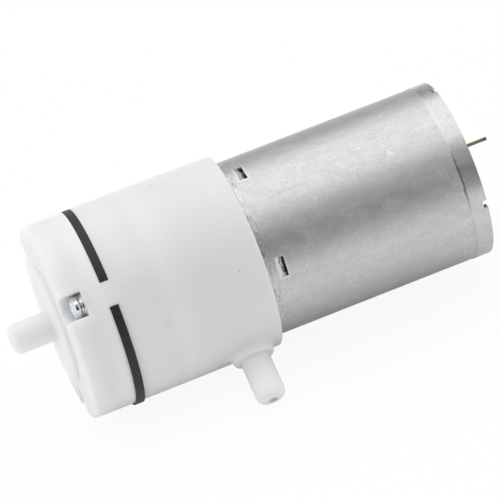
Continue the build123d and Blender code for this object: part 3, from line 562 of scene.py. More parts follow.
tree, sizes, end = new_tree(
    "screw_ring",
    Head=("Object", None),
    Count=("Int", screw_count),
    First_angle=("Float", radians(screw_angle)),
    Circle=("Float", screw_circle),
    Seat=("Float", screw_seat),
    Length=("Float", screw_length),
    Thread_radius=("Float", thread_radius),
    Thread_depth=("Float", thread_depth),
    Pitch=("Float", thread_pitch),
    Finish=("Material", None),
)
core_radius = add(
    tree, "ShaderNodeMath", None, {0: sizes["Thread radius"], 1: sizes["Thread depth"]}, operation="SUBTRACT"
).outputs[0]
core = add(
    tree, "GeometryNodeMeshCylinder", {"Vertices": 20}, {"Radius": core_radius, "Depth": sizes["Length"]}
).outputs["Mesh"]
thread_turns = add(
    tree, "ShaderNodeMath", None, {0: sizes["Length"], 1: sizes["Pitch"]}, operation="DIVIDE"
).outputs[0]
thread_line = add(
    tree,
    "GeometryNodeCurveSpiral",
    {"Resolution": 18},
    {
        "Rotations": thread_turns,
        "Start Radius": core_radius,
        "End Radius": core_radius,
        "Height": sizes["Length"],
    },
).outputs[0]
ridge = add(
    tree,
    "GeometryNodeCurvePrimitiveCircle",
    {"Resolution": 3},
    {"Radius": sizes["Thread depth"]},
    mode="RADIUS",
).outputs[0]
thread = add(
    tree, "GeometryNodeCurveToMesh", {"Fill Caps": True}, {"Curve": thread_line, "Profile Curve": ridge}
).outputs[0]
half = add(tree, "ShaderNodeMath", {1: -0.5}, {0: sizes["Length"]}, operation="MULTIPLY").outputs[0]
thread_drop = add(tree, "ShaderNodeCombineXYZ", None, {"Z": half}).outputs[0]
thread = add(tree, "GeometryNodeTransform", None, {"Geometry": thread, "Translation": thread_drop}).outputs[0]
shank = add(tree, "GeometryNodeJoinGeometry", None, {0: core}).outputs[0]
tree.links.new(thread, shank.node.inputs[0])
middle = add(tree, "ShaderNodeMath", {1: 0.5}, {0: sizes["Length"]}, operation="MULTIPLY").outputs[0]
to_middle = add(tree, "ShaderNodeCombineXYZ", None, {"X": middle}).outputs[0]
on_axis = {"Rotation": (0, 0.5 * pi, 0)}
shank = add(tree, "GeometryNodeTransform", on_axis, {"Geometry": shank, "Translation": to_middle}).outputs[0]
head = add(tree, "GeometryNodeObjectInfo", None, {"Object": sizes["Head"]}).outputs["Geometry"]
screw = add(tree, "GeometryNodeJoinGeometry", None, {0: head}).outputs[0]
tree.links.new(shank, screw.node.inputs[0])
to_circle = add(tree, "ShaderNodeCombineXYZ", None, {"X": sizes["Seat"], "Y": sizes["Circle"]}).outputs[0]
screw = add(tree, "GeometryNodeTransform", None, {"Geometry": screw, "Translation": to_circle}).outputs[0]


def round_the_axis(tree, piece, sizes, end):
    """Ends a tree: repeats its piece evenly round the axis, as many as Count says, in its finish."""
    points = add(tree, "GeometryNodeMeshLine", {"Offset": (0, 0, 0)}, {"Count": sizes["Count"]}).outputs[0]
    index = add(tree, "GeometryNodeInputIndex").outputs[0]
    step = add(tree, "ShaderNodeMath", {0: tau}, {1: sizes["Count"]}, operation="DIVIDE").outputs[0]
    angle = add(
        tree, "ShaderNodeMath", None, {0: index, 1: step, 2: sizes["First angle"]}, operation="MULTIPLY_ADD"
    ).outputs[0]
    turn = add(tree, "ShaderNodeCombineXYZ", None, {"X": angle}).outputs[0]
    copies = add(
        tree, "GeometryNodeInstanceOnPoints", None, {"Points": points, "Instance": piece, "Rotation": turn}
    ).outputs[0]
    solid = add(tree, "GeometryNodeRealizeInstances", None, {0: copies}).outputs[0]
    done = add(tree, "GeometryNodeSetMaterial", None, {"Geometry": solid, "Material": sizes["Finish"]})
    tree.links.new(done.outputs[0], end.inputs[0])


round_the_axis(tree, screw, sizes, end)
nickel = metal("bright_nickel_plate", "#EAEDF0", "#DCDFE3", 0.1, grain=0.35, depth=0.001, spread=0.03)
screw_mesh = grown("head_screws_detailed", tree, Head=head_source, Finish=nickel[0])
instead("head_screws", "head_screws_detailed", screw_mesh, nickel[0])
for tool in wings + [head_source]:
    bpy.data.objects.remove(tool)

# Spring washers: one turn of square steel wire under each head, cut through at an angle so that its ends
# spring apart. They keep the screws from working loose.
tree, sizes, end = new_tree(
    "spring_washer_ring",
    Count=("Int", screw_count),
    First_angle=("Float", radians(screw_angle)),
    Circle=("Float", screw_circle),
    Seat=("Float", screw_seat),
    Wire_width=("Float", 0.6),
    Wire_height=("Float", 0.27),
    Middle_radius=("Float", 1.14),
    Rise=("Float", 0.06),
    Finish=("Material", None),
)
wire_line = add(
    tree,
    "GeometryNodeCurveSpiral",
    {"Resolution": 48, "Rotations": 0.95},
    {"Start Radius": sizes["Middle radius"], "End Radius": sizes["Middle radius"], "Height": sizes["Rise"]},
).outputs[0]
wire_face = add(
    tree,
    "GeometryNodeCurvePrimitiveQuadrilateral",
    None,
    {"Width": sizes["Wire width"], "Height": sizes["Wire height"]},
).outputs[0]
wire_face = add(
    tree, "GeometryNodeFilletCurve", {"Radius": 0.05, "Count": 2}, {"Curve": wire_face}, mode="POLY"
).outputs[0]
washer = add(
    tree, "GeometryNodeCurveToMesh", {"Fill Caps": True}, {"Curve": wire_line, "Profile Curve": wire_face}
).outputs[0]
wire_start = 0.16
lift = add(tree, "ShaderNodeMath", {1: wire_start}, {0: sizes["Seat"]}).outputs[0]
to_screw = add(tree, "ShaderNodeCombineXYZ", None, {"X": lift, "Y": sizes["Circle"]}).outputs[0]
washer = add(tree, "GeometryNodeTransform", on_axis, {"Geometry": washer, "Translation": to_screw}).outputs[0]
round_the_axis(tree, washer, sizes, end)
washer_mesh = grown("spring_washers_split", tree, Finish=nickel[0])
instead("spring_washers", "spring_washers_split", washer_mesh, nickel[0])

# Flat washers and motor screws: blanked and cold formed steel, nickel plated in the same bath as the
# head screws. The washers lie under the spring washers, and the two screws hold the crankcase to the can.
dress(nickel[0], "screw_washers", "motor_screws")

# Motor can: deep-drawn steel cup, zinc plated. Drawing leaves faint lines along the axis and the plating
# a fine cloudy speckle. The head has scuffed it where the two were pushed together, the edges of the
# lanced magnet stops are bright, and the rim is swaged out over the end cap.
drawn = (0.45, 1, 1)
speckle_size = 0.26
hair_cell = 1.7
cloud_size = 2.4
can_finish, tree, shader, place, tone, rough, height, relief = metal(
    "zinc_plated_drawn_steel", "#D5D5D6", "#BEBEC0", 0.44, stretch=drawn, grain=0.9, depth=0.006, spread=0.05
)
speckle = add(
    tree, "ShaderNodeTexNoise", {"Scale": 1 / speckle_size, "Detail": 3, "Roughness": 0.75}, {"Vector": place}
).outputs[0]
spangle = add(
    tree,
    "ShaderNodeMapRange",
    {"From Min": 0.52, "From Max": 0.72, "To Min": 0.0, "To Max": 0.5},
    {"Value": speckle},
).outputs[0]
tone = add(tree, "ShaderNodeMix", {7: linear("#F6F6F4")}, {0: spangle, 6: tone}, data_type="RGBA").outputs[2]
# Hair scratches from handling: the edges of large cells, seen only in the cloudy patches
hairs = add(
    tree, "ShaderNodeTexVoronoi", {"Scale": 1 / hair_cell}, {"Vector": place}, feature="DISTANCE_TO_EDGE"
).outputs[0]
hairs = add(
    tree,
    "ShaderNodeMapRange",
    {"From Min": 0.012, "From Max": 0.03, "To Min": 1.0, "To Max": 0.0},
    {"Value": hairs},
).outputs[0]
cloud = add(
    tree, "ShaderNodeTexNoise", {"Scale": 1 / cloud_size, "Detail": 3, "Roughness": 0.6}, {"Vector": place}
).outputs[0]
cloudy = add(
    tree,
    "ShaderNodeMapRange",
    {"From Min": 0.35, "From Max": 0.65, "To Min": -0.035, "To Max": 0.045},
    {"Value": cloud},
).outputs[0]
rough = add(tree, "ShaderNodeMath", None, {0: rough, 1: cloudy}).outputs[0]
patchy = add(
    tree,
    "ShaderNodeMapRange",
    {"From Min": 0.51, "From Max": 0.66, "To Min": 0.0, "To Max": 0.34},
    {"Value": cloud},
).outputs[0]
hairs = add(tree, "ShaderNodeMath", None, {0: hairs, 1: patchy}, operation="MULTIPLY").outputs[0]
tone = add(tree, "ShaderNodeMix", {7: linear("#FFFFFF")}, {0: hairs, 6: tone}, data_type="RGBA").outputs[2]
station = add(tree, "ShaderNodeSeparateXYZ", None, {0: place}).outputs["X"]

# Across the scuff band the marks are drawn out along the rim, bright where fresh and dark where greasy
scratch_pitch = (3.52, 0.8, 0.8)
scuff_reach = 1.25
along_rim = add(tree, "ShaderNodeVectorMath", {1: scratch_pitch}, {0: place}, operation="MULTIPLY").outputs[0]
scratches = add(
    tree, "ShaderNodeTexNoise", {"Scale": 1.0, "Detail": 4, "Roughness": 0.65}, {"Vector": along_rim}
).outputs[0]
near_scuff = add(
    tree,
    "ShaderNodeMapRange",
    {"From Min": 0.6 * scuff_reach, "From Max": scuff_reach, "To Min": 1.0, "To Max": 0.0},
    {"Value": station},
).outputs[0]
upright = add(tree, "ShaderNodeVectorMath", {1: flank}, {0: place}, operation="DOT_PRODUCT").outputs["Value"]
handled = add(
    tree,
    "ShaderNodeMapRange",
    {"From Min": 3.0, "From Max": 10.0, "To Min": 0.25, "To Max": 1.0},
    {"Value": upright},
).outputs[0]
near_scuff = add(tree, "ShaderNodeMath", None, {0: near_scuff, 1: handled}, operation="MULTIPLY").outputs[0]
for low, high, strength, shade in ((0.54, 0.62, 0.4, "#FFFFFF"), (0.45, 0.36, 0.55, "#77756F")):
    scuffed = add(
        tree,
        "ShaderNodeMapRange",
        {"From Min": low, "From Max": high, "To Min": 0.0, "To Max": strength},
        {"Value": scratches},
    ).outputs[0]
    scuffed = add(tree, "ShaderNodeMath", None, {0: scuffed, 1: near_scuff}, operation="MULTIPLY").outputs[0]
    tone = add(tree, "ShaderNodeMix", {7: linear(shade)}, {0: scuffed, 6: tone}, data_type="RGBA").outputs[2]

# The magnet stops were lanced through the plating, which leaves ragged edges of bare steel round the windows.
# These are painted bright, partly as bare steel and partly as a painted highlight on the bent edges.
stop_middle = 2.2
stop_half_length = 0.6
stop_half_width = 1.42
can_radius = 12.2
burr_width = 0.3
burr_unevenness = 0.7
for stop_angle in (-52.6, 18.3, 162.85):
    middle = spot(stop_middle, can_radius, stop_angle)
    away = add(tree, "ShaderNodeVectorMath", {1: middle}, {0: place}, operation="SUBTRACT").outputs[0]
    tangent = spot(0, 1, stop_angle + 90)
    aside = add(tree, "ShaderNodeVectorMath", {1: tangent}, {0: away}, operation="DOT_PRODUCT")
    aside = add(tree, "ShaderNodeMath", None, {0: aside.outputs["Value"]}, operation="ABSOLUTE").outputs[0]
    aside = add(tree, "ShaderNodeMath", {1: stop_half_width}, {0: aside}, operation="SUBTRACT").outputs[0]
    ahead = add(tree, "ShaderNodeSeparateXYZ", None, {0: away}).outputs["X"]
    ahead = add(tree, "ShaderNodeMath", None, {0: ahead}, operation="ABSOLUTE").outputs[0]
    ahead = add(tree, "ShaderNodeMath", {1: stop_half_length}, {0: ahead}, operation="SUBTRACT").outputs[0]
    off_edge = add(tree, "ShaderNodeMath", None, {0: aside, 1: ahead}, operation="MAXIMUM").outputs[0]
    off_edge = add(
        tree, "ShaderNodeMath", {1: -burr_unevenness}, {0: scratches, 2: off_edge}, operation="MULTIPLY_ADD"
    ).outputs[0]
    edge = -0.5 * burr_unevenness
    burr_and_glint = add(
        tree,
        "ShaderNodeMapRange",
        {"From Min": edge, "From Max": edge + burr_width, "To Min": 0.45, "To Max": 0.0},
        {"Value": off_edge},
    ).outputs[0]
    distance = add(tree, "ShaderNodeVectorMath", None, {0: away}, operation="LENGTH").outputs["Value"]
    near = add(tree, "ShaderNodeMath", {1: 3.0}, {0: distance}, operation="LESS_THAN").outputs[0]
    burr_and_glint = add(tree, "ShaderNodeMath", None, {0: burr_and_glint, 1: near}, operation="MULTIPLY").outputs[0]
    tone = add(tree, "ShaderNodeMix", {7: linear("#FFFFFF")}, {0: burr_and_glint, 6: tone}, data_type="RGBA").outputs[2]

# The tongue of each stop is torn unevenly and leads down into the can. Where it sinks below the skin it is
# painted dark as shade, and so is all of the can inside that radius.
sunk_radius = 11.88
sunk_depth = 0.2
torn_reach = 1.7
off_axis = add(tree, "ShaderNodeVectorMath", {1: (0, 1, 1)}, {0: place}, operation="MULTIPLY").outputs[0]
off_axis = add(tree, "ShaderNodeVectorMath", None, {0: off_axis}, operation="LENGTH").outputs["Value"]
torn = add(tree, "ShaderNodeMath", {1: 0.5}, {0: scratches}, operation="SUBTRACT").outputs[0]
torn = add(
    tree, "ShaderNodeMath", {1: torn_reach}, {0: torn, 2: off_axis}, operation="MULTIPLY_ADD"
).outputs[0]
sunk_painted_shade = add(
    tree,
    "ShaderNodeMapRange",
    {"From Min": sunk_radius, "From Max": sunk_radius - sunk_depth, "To Min": 0.0, "To Max": 0.9},
    {"Value": torn},
).outputs[0]
tone = add(tree, "ShaderNodeMix", {7: linear("#2A2A2B")}, {0: sunk_painted_shade, 6: tone}, data_type="RGBA").outputs[2]

# A dark line is painted as shade in the corner where the can goes into the head
contact_depth = 0.3
contact_painted_shade = add(
    tree,
    "ShaderNodeMapRange",
    {"From Min": 0.0, "From Max": contact_depth, "To Min": 0.7, "To Max": 0.0},
    {"Value": station},
).outputs[0]
tone = add(tree, "ShaderNodeMix", {7: linear("#5A5A58")}, {0: contact_painted_shade, 6: tone}, data_type="RGBA").outputs[2]
spangle_height = 0.007
fine = add(
    tree, "ShaderNodeMath", {1: spangle_height}, {0: speckle, 2: height}, operation="MULTIPLY_ADD"
).outputs[0]

# The swaged band is burnished by the tool, so it is less rough. Along the groove in front of it a faint line
# is drawn all round, with painted shade round the flank and a painted highlight higher up.
band_start = 28.7
band_edge = 0.1
groove_width = 0.16
groove_unevenness = 0.7
groove_shift = 0.36
on_band = add(
    tree,
    "ShaderNodeMapRange",
    {"From Min": band_start, "From Max": band_start + band_edge, "To Min": 0.0, "To Max": -0.14},
    {"Value": station},
).outputs[0]
rough = add(tree, "ShaderNodeMath", None, {0: rough, 1: on_band}).outputs[0]
off_groove = add(tree, "ShaderNodeMath", {1: band_start}, {0: station}, operation="SUBTRACT").outputs[0]
ragged = add(
    tree, "ShaderNodeMath", {1: groove_unevenness}, {0: scratches, 2: off_groove}, operation="MULTIPLY_ADD"
).outputs[0]
ragged = add(tree, "ShaderNodeMath", {1: groove_shift}, {0: ragged}, operation="SUBTRACT").outputs[0]
ragged = add(tree, "ShaderNodeMath", None, {0: ragged}, operation="ABSOLUTE").outputs[0]
groove = add(
    tree,
    "ShaderNodeMapRange",
    {"From Min": 0.4 * groove_width, "From Max": groove_width, "To Min": 1.0, "To Max": 0.0},
    {"Value": ragged},
).outputs[0]
painted_shade_way = spot(0, 1, 8)
painted_highlight_way = spot(0, 1, -45)
for way, reach, shade, strength in (
    (painted_shade_way, 11.4, "#4C4B4A", 0.8),
    (painted_highlight_way, 9.5, "#FFFFFF", 0.35),
):
    along_way = add(tree, "ShaderNodeVectorMath", {1: way}, {0: place}, operation="DOT_PRODUCT")
    there = add(
        tree,
        "ShaderNodeMapRange",
        {"From Min": reach, "From Max": reach + 0.7, "To Min": 0.12, "To Max": strength},
        {"Value": along_way.outputs["Value"]},
    ).outputs[0]
    there = add(tree, "ShaderNodeMath", None, {0: there, 1: groove}, operation="MULTIPLY").outputs[0]
    tone = add(tree, "ShaderNodeMix", {7: linear(shade)}, {0: there, 6: tone}, data_type="RGBA").outputs[2]
tree.links.new(tone, shader.inputs["Base Color"])
tree.links.new(rough, shader.inputs["Roughness"])
tree.links.new(fine, relief.inputs["Height"])
dress(can_finish, "motor_can")

# Bearings: bushes of sintered bronze, soaked in oil and pressed into the can's nose and the end cap. The
# pores show as dark pin pricks.
bush_finish, tree, shader, place, tone, rough, height, relief = metal(
    "oiled_sintered_bronze", "#B98D5A", "#9C7344", 0.38, grain=0.25
)
pores = add(tree, "ShaderNodeTexVoronoi", {"Scale": 1 / 0.3}, {"Vector": place})
pricks = add(
    tree,
    "ShaderNodeMapRange",
    {"From Min": 0.18, "From Max": 0.3, "To Min": 0.8, "To Max": 0.0},
    {"Value": pores.outputs["Distance"]},
).outputs[0]
tone = add(tree, "ShaderNodeMix", {7: linear("#3A2A18")}, {0: pricks, 6: tone}, data_type="RGBA").outputs[2]
tree.links.new(tone, shader.inputs["Base Color"])
dress(bush_finish, "front_bearing", "rear_bearing")

# Magnets: two shells of sintered ferrite, a dark grey ceramic, ground on the outside and pressed apart
# by clips of blue-grey rolled spring steel in the two gaps.
rolled = (0.12, 1, 1)
ferrite = moulded("ground_ferrite", "#3B3C40", "#2F3034", 0.55, flow=2.0, grain=0.18, depth=0.008, IOR=1.8)
dress(ferrite[0], "magnets")
dress(metal("rolled_spring_steel", "#8A8C92", "#74767C", 0.3, stretch=rolled, grain=0.15)[0], "magnet_clips")

# Armature core: electrical steel sheets of 0.5 mm, stamped to a three-pole star and pressed on the shaft
# as a stack. The edge of each sheet catches the light beside a dark joint.
sheet_pitch = 0.5
core_finish, tree, shader, place, tone, rough, height, relief = metal(
    "stacked_electrical_steel", "#8D8E92", "#7A7B80", 0.4, grain=0.3
)
station = add(tree, "ShaderNodeSeparateXYZ", None, {0: place}).outputs["X"]
sheet = add(tree, "ShaderNodeMath", {1: sheet_pitch}, {0: station}, operation="DIVIDE").outputs[0]
across = add(tree, "ShaderNodeMath", {1: 1.0}, {0: sheet}, operation="FLOORED_MODULO").outputs[0]
from_edge = add(tree, "ShaderNodeMath", {1: 0.5}, {0: across}, operation="SUBTRACT").outputs[0]
from_edge = add(tree, "ShaderNodeMath", None, {0: from_edge}, operation="ABSOLUTE").outputs[0]
joint = add(
    tree,
    "ShaderNodeMapRange",
    {"From Min": 0.38, "From Max": 0.48, "To Min": 0.0, "To Max": 1.0},
    {"Value": from_edge},
).outputs[0]
tone = add(tree, "ShaderNodeMix", {7: linear("#2C2B2A")}, {0: joint, 6: tone}, data_type="RGBA").outputs[2]
stacked = add(tree, "ShaderNodeMath", {1: -0.03}, {0: joint, 2: height}, operation="MULTIPLY_ADD").outputs[0]
tree.links.new(tone, shader.inputs["Base Color"])
tree.links.new(stacked, relief.inputs["Height"])
dress(core_finish, "armature_core")

# Windings: a coil of enamelled copper wire round each pole, wound in layers over the core's paper. The
# enamel is a clear red-brown lacquer, so the copper shines through it.
tree, sizes, end = new_tree(
    "pole_windings",
    Count=("Int", 3),
    First_angle=("Float", 0.0),
    Turns=("Int", 12),
    Layers=("Int", 5),
    Wire=("Float", 0.25),
    Core_length=("Float", 14.0),
    Tooth_width=("Float", 2.5),
    Inner_radius=("Float", 3.0),
    Corner=("Float", 0.3),
    Core_middle=("Float", 0.0),
    Finish=("Material", None),
)


def sum_of(tree, first, second, times=1.0):
    """A socket with first plus second times a number."""
    scaled = add(tree, "ShaderNodeMath", {1: times}, {0: second}, operation="MULTIPLY").outputs[0]
    return add(tree, "ShaderNodeMath", None, {0: first, 1: scaled}).outputs[0]


loop_width = sum_of(tree, sizes["Core length"], sizes["Wire"])
loop_height = sum_of(tree, sizes["Tooth width"], sizes["Wire"])
loop = add(
    tree, "GeometryNodeCurvePrimitiveQuadrilateral", None, {"Width": loop_width, "Height": loop_height}
).outputs[0]
loop = add(
    tree, "GeometryNodeFilletCurve", {"Count": 5}, {"Curve": loop, "Radius": sizes["Corner"]}, mode="POLY"
).outputs[0]
loop = add(tree, "GeometryNodeTransform", {"Rotation": (0.5 * pi, 0, 0)}, {"Geometry": loop}).outputs[0]
loop_count = add(
    tree, "ShaderNodeMath", None, {0: sizes["Turns"], 1: sizes["Layers"]}, operation="MULTIPLY"
).outputs[0]
stand = add(tree, "GeometryNodeMeshLine", {"Offset": (0, 0, 0)}, {"Count": loop_count}).outputs[0]
index = add(tree, "GeometryNodeInputIndex").outputs[0]
turn_number = add(
    tree, "ShaderNodeMath", None, {0: index, 1: sizes["Turns"]}, operation="FLOORED_MODULO"
).outputs[0]
layer_number = add(tree, "ShaderNodeMath", None, {0: index, 1: sizes["Turns"]}, operation="DIVIDE").outputs[0]
layer_number = add(tree, "ShaderNodeMath", None, {0: layer_number}, operation="FLOOR").outputs[0]
half_wire = sum_of(tree, sizes["Inner radius"], sizes["Wire"], 0.5)
rise = add(tree, "ShaderNodeMath", None, {0: turn_number, 1: sizes["Wire"]}, operation="MULTIPLY").outputs[0]
rise = add(tree, "ShaderNodeMath", None, {0: rise, 1: half_wire}).outputs[0]
stand_place = add(tree, "ShaderNodeCombineXYZ", None, {"X": sizes["Core middle"], "Y": rise}).outputs[0]
loops = add(tree, "GeometryNodeInstanceOnPoints", None, {"Points": stand, "Instance": loop}).outputs[0]
loops = add(
    tree,
    "GeometryNodeStoreNamedAttribute",
    {"Name": "layer"},
    {"Geometry": loops, "Value": layer_number},
    data_type="FLOAT",
    domain="INSTANCE",
).outputs[0]
loops = add(
    tree,
    "GeometryNodeStoreNamedAttribute",
    {"Name": "stand"},
    {"Geometry": loops, "Value": stand_place},
    data_type="FLOAT_VECTOR",
    domain="INSTANCE",
).outputs[0]
loops = add(tree, "GeometryNodeRealizeInstances", None, {0: loops}).outputs[0]
place = add(tree, "GeometryNodeInputPosition").outputs[0]
corner_x = sum_of(tree, loop_width, sizes["Corner"], -2.0)
corner_z = sum_of(tree, loop_height, sizes["Corner"], -2.0)
corner = add(tree, "ShaderNodeCombineXYZ", None, {"X": corner_x, "Z": corner_z}).outputs[0]
corner = add(tree, "ShaderNodeVectorMath", {"Scale": 0.5}, {0: corner}, operation="SCALE").outputs[0]
opposite = add(tree, "ShaderNodeVectorMath", {"Scale": -1.0}, {0: corner}, operation="SCALE").outputs[0]
inner = add(tree, "ShaderNodeVectorMath", None, {0: place, 1: corner}, operation="MINIMUM").outputs[0]
inner = add(tree, "ShaderNodeVectorMath", None, {0: inner, 1: opposite}, operation="MAXIMUM").outputs[0]
outwards = add(tree, "ShaderNodeVectorMath", None, {0: place, 1: inner}, operation="SUBTRACT").outputs[0]
outwards = add(tree, "ShaderNodeVectorMath", None, {0: outwards}, operation="NORMALIZE").outputs[0]
layer = add(tree, "GeometryNodeInputNamedAttribute", {"Name": "layer"}, data_type="FLOAT").outputs[0]
growth = add(tree, "ShaderNodeMath", None, {0: layer, 1: sizes["Wire"]}, operation="MULTIPLY").outputs[0]
outwards = add(
    tree, "ShaderNodeVectorMath", None, {0: outwards, "Scale": growth}, operation="SCALE"
).outputs[0]
stood = add(tree, "GeometryNodeInputNamedAttribute", {"Name": "stand"}, data_type="FLOAT_VECTOR").outputs[0]
shift = add(tree, "ShaderNodeVectorMath", None, {0: outwards, 1: stood}, operation="ADD").outputs[0]
loops = add(tree, "GeometryNodeSetPosition", None, {"Geometry": loops, "Offset": shift}).outputs[0]
wire_radius = add(tree, "ShaderNodeMath", {1: 0.5}, {0: sizes["Wire"]}, operation="MULTIPLY").outputs[0]
wire_face = add(
    tree, "GeometryNodeCurvePrimitiveCircle", {"Resolution": 6}, {"Radius": wire_radius}, mode="RADIUS"
).outputs[0]
coil = add(tree, "GeometryNodeCurveToMesh", None, {"Curve": loops, "Profile Curve": wire_face}).outputs[0]
coil = add(tree, "GeometryNodeSetShadeSmooth", None, {"Geometry": coil}).outputs[0]
round_the_axis(tree, coil, sizes, end)
enamelled = metal(
    "enamelled_copper_wire",
    "#C06A38",
    "#A85526",
    0.24,
    grain=0.5,
    Coat_Weight=0.6,
    Coat_Roughness=0.15,
    Coat_Tint=linear("#E8A878"),
)
core_low, core_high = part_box("armature_core")
coil_mesh = grown(
    "windings_wound",
    tree,
    Core_length=(core_high.x - core_low.x) / mm,
    Core_middle=(core_low.x + core_high.x) / 2 / mm,
    Finish=enamelled[0],
)
instead("windings", "windings_wound", coil_mesh, enamelled[0], body="rotor")

# Commutator: three copper segments, turned true on a hub of black phenolic resin, and the brush track
# polished along them
turned_copper = metal("turned_copper", "#C98660", "#B06F4A", 0.22, stretch=rings, grain=0.1, spread=0.08)
dress(turned_copper[0], "commutator_segments")
dress(filled_nylon[0], "commutator_hub")

# Varistor: a ring of fired grey-brown ceramic, soldered on the commutator, that quenches the sparks. It
# is rough like unglazed clay.
ceramic = moulded(
    "fired_varistor_ceramic", "#6E665A", "#5C554B", 0.75, flow=1.5, grain=0.12, depth=0.01, IOR=1.6
)
dress(ceramic[0], "varistor")

# End cap: black nylon disc in the open end of the can, moulded with the boss of the rear bearing and the
# pads round the terminals. It is held by the can's rim and looks silky, with a dusty bloom.
nylon = moulded("silky_black_nylon", "#1C1C1E", "#2A2A2C", 0.42, flow=4.0, grain=0.2, depth=0.005, IOR=1.53)
dress(nylon[0], "end_cap")

# Brush gear: arms of rolled brass strip that press two blocks of pressed carbon and copper on the track.
# The carbon is matt black with red grains.
strip_brass = metal("rolled_brass_strip", "#C8A868", "#B08F50", 0.28, stretch=rolled, grain=0.12)
dress(strip_brass[0], "brush_arms")
carbon, tree, shader, place, tone, height, relief = moulded(
    "pressed_copper_carbon", "#1A1918", "#262321", 0.6, flow=0.8, grain=0.12, depth=0.01, IOR=1.6
)
grains = add(tree, "ShaderNodeTexVoronoi", {"Scale": 1 / 0.22}, {"Vector": place})
copper_grain = add(
    tree,
    "ShaderNodeMapRange",
    {"From Min": 0.1, "From Max": 0.22, "To Min": 0.7, "To Max": 0.0},
    {"Value": grains.outputs["Distance"]},
).outputs[0]
tone = add(
    tree, "ShaderNodeMix", {7: linear("#8A4A2C")}, {0: copper_grain, 6: tone}, data_type="RGBA"
).outputs[2]
tree.links.new(tone, shader.inputs["Base Color"])
dress(carbon, "brushes")

# Terminals: two tabs of brass strip, stamped with a hole for the wire and rolled over at the edges by
# the die. They have dulled to a grey brown, darker towards the cut end.
terminal_round = dict(width=0.09 * mm, segments=3, limit_method="ANGLE", angle_limit=radians(50))
terminal_mesh = settled("terminal_tabs", merged_copy("terminals"), ("BEVEL", terminal_round))
terminal_mesh.polygons.foreach_set("use_smooth", [True] * len(terminal_mesh.polygons))
terminal_mesh.set_sharp_from_angle(angle=radians(40))
dull_brass, tree, shader, place, tone, rough, height, relief = metal(
    "dulled_brass_strip", "#B29C80", "#94816A", 0.4, stretch=rolled, grain=0.15
)
station = add(tree, "ShaderNodeSeparateXYZ", None, {0: place}).outputs["X"]
tarnish_start = 33.2
tarnish_end = 34.5
tarnish = add(
    tree,
    "ShaderNodeMapRange",
    {"From Min": tarnish_start, "From Max": tarnish_end, "To Min": 0.0, "To Max": 0.75},
    {"Value": station},
).outputs[0]
tone = add(tree, "ShaderNodeMix", {7: linear("#54463F")}, {0: tarnish, 6: tone}, data_type="RGBA").outputs[2]
tree.links.new(tone, shader.inputs["Base Color"])
instead("terminals", "terminal_tabs", terminal_mesh, dull_brass)

# Studio: a sheet of white paper under the pump, one wide soft box nearly overhead, and an even grey room
# that is dark behind the camera. For the camera and in gloss the paper is lifted towards white.
floor_reach = 3.0
floor_skin = bmesh.new()
bmesh.ops.create_grid(floor_skin, x_segments=1, y_segments=1, size=floor_reach)
floor_skin.transform(Matrix.Translation((0, 0, cad_box[0].z)))
floor = bpy.data.objects.new("floor", mesh_of("floor", floor_skin))
bpy.context.scene.collection.objects.link(floor)
paper, tree, shader, place = surface("white_paper", Base_Color=linear("#FFFFFF"), Roughness=0.9)
fibres = add(tree, "ShaderNodeTexNoise", {"Scale": 1 / 0.6, "Detail": 3}, {"Vector": place})
relief = add(tree, "ShaderNodeBump", {"Strength": 0.2, "Distance": 0.02 * mm}, {"Height": fibres.outputs[0]})
tree.links.new(relief.outputs[0], shader.inputs["Normal"])
lift_seen = 0.92
lift_mirrored = 0.05
path = add(tree, "ShaderNodeLightPath").outputs
bounced = {0: path["Is Glossy Ray"], 1: path["Is Transmission Ray"]}
mirrored = add(tree, "ShaderNodeMath", None, bounced).outputs[0]
mirrored = add(tree, "ShaderNodeMath", {1: lift_mirrored}, {0: mirrored}, operation="MULTIPLY").outputs[0]
lifted = add(
    tree, "ShaderNodeMath", {1: lift_seen}, {0: path["Is Camera Ray"], 2: mirrored}, operation="MULTIPLY_ADD"
).outputs[0]
white = add(tree, "ShaderNodeEmission", {"Color": linear("#FFFFFF"), "Strength": 1.0}).outputs[0]
sheet_look = add(tree, "ShaderNodeMixShader", None, {0: lifted, 1: shader.outputs[0], 2: white}).outputs[0]
tree.links.new(sheet_look, tree.nodes["Material Output"].inputs["Surface"])
floor.data.materials.append(paper)

soft_box_side = 1.6
soft_box_distance = 1.0
soft_box_way = Vector((0, 0.21, 0.977))
soft_box_light = bpy.data.lights.new("soft_box", "AREA")
soft_box_light.shape = "SQUARE"
soft_box_light.size = soft_box_side
soft_box_light.energy = 7.6
soft_box = bpy.data.objects.new("soft_box", soft_box_light)
soft_box.location = soft_box_way * soft_box_distance
soft_box.rotation_euler = soft_box_way.to_track_quat("Z", "Y").to_euler()
bpy.context.scene.collection.objects.link(soft_box)

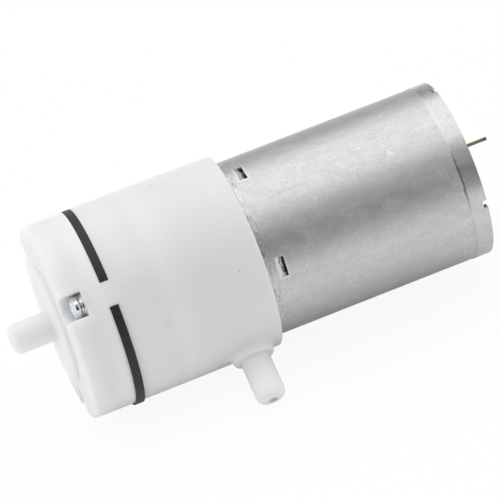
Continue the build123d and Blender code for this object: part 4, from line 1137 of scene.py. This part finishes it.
head_turn = radians(8.8)
towards_camera = cos(head_turn) * flank - sin(head_turn) * Vector((1, 0, 0))
dim_elevation = radians(20)
dim_core = radians(16)
dim_edge = radians(27)
screen_start = 0.4
screen_end = 0.8
room = bpy.data.worlds.new("room")
room.use_nodes = True
tree = room.node_tree
direction = add(tree, "ShaderNodeTexCoord").outputs["Generated"]
dim_corner = Vector((towards_camera.x, towards_camera.y, 0)).normalized() * cos(dim_elevation)
dim_corner.z = sin(dim_elevation)
facing = add(tree, "ShaderNodeVectorMath", {1: dim_corner}, {0: direction}, operation="DOT_PRODUCT")
behind_camera = add(
    tree,
    "ShaderNodeMapRange",
    {"From Min": cos(dim_edge), "From Max": cos(dim_core), "To Min": 0.0, "To Max": 1.0},
    {"Value": facing.outputs["Value"]},
    interpolation_type="SMOOTHSTEP",
).outputs[0]
sideways = add(tree, "ShaderNodeSeparateXYZ", None, {0: direction}).outputs["X"]
sideways = add(tree, "ShaderNodeMath", None, {0: sideways}, operation="ABSOLUTE").outputs[0]
screen = add(
    tree,
    "ShaderNodeMapRange",
    {"From Min": screen_start, "From Max": screen_end, "To Min": 0.0, "To Max": 1.0},
    {"Value": sideways},
    interpolation_type="SMOOTHSTEP",
).outputs[0]
walls = add(
    tree, "ShaderNodeMix", {6: linear("#B0B0B1"), 7: linear("#FFFFFF")}, {0: screen}, data_type="RGBA"
).outputs[2]
walls = add(
    tree, "ShaderNodeMix", {7: linear("#242426")}, {0: behind_camera, 6: walls}, data_type="RGBA"
).outputs[2]
tree.links.new(walls, tree.nodes["Background"].inputs["Color"])
bpy.context.scene.world = room

# Camera: looks at the screw flank with a long lens, the head end a little nearer
camera_roll = radians(21.30)
camera_distance = 0.554
picture_shift = 0.00085
picture_lift = 0.000087
along_picture = cos(head_turn) * Vector((1, 0, 0)) + sin(head_turn) * flank
right = cos(camera_roll) * along_picture + sin(camera_roll) * quarter
up = sin(camera_roll) * along_picture - cos(camera_roll) * quarter
lens = bpy.data.cameras.new("camera")
lens.lens = 298
lens.sensor_width = 36
lens.clip_start = 0.01
camera = bpy.data.objects.new("camera", lens)
stand_point = towards_camera * camera_distance + right * picture_shift + up * picture_lift
aim = Matrix((right, up, towards_camera)).transposed().to_4x4()
camera.matrix_world = Matrix.Translation(stand_point) @ aim
bpy.context.scene.collection.objects.link(camera)
bpy.context.scene.camera = camera
bpy.context.scene.view_settings.view_transform = "Standard"
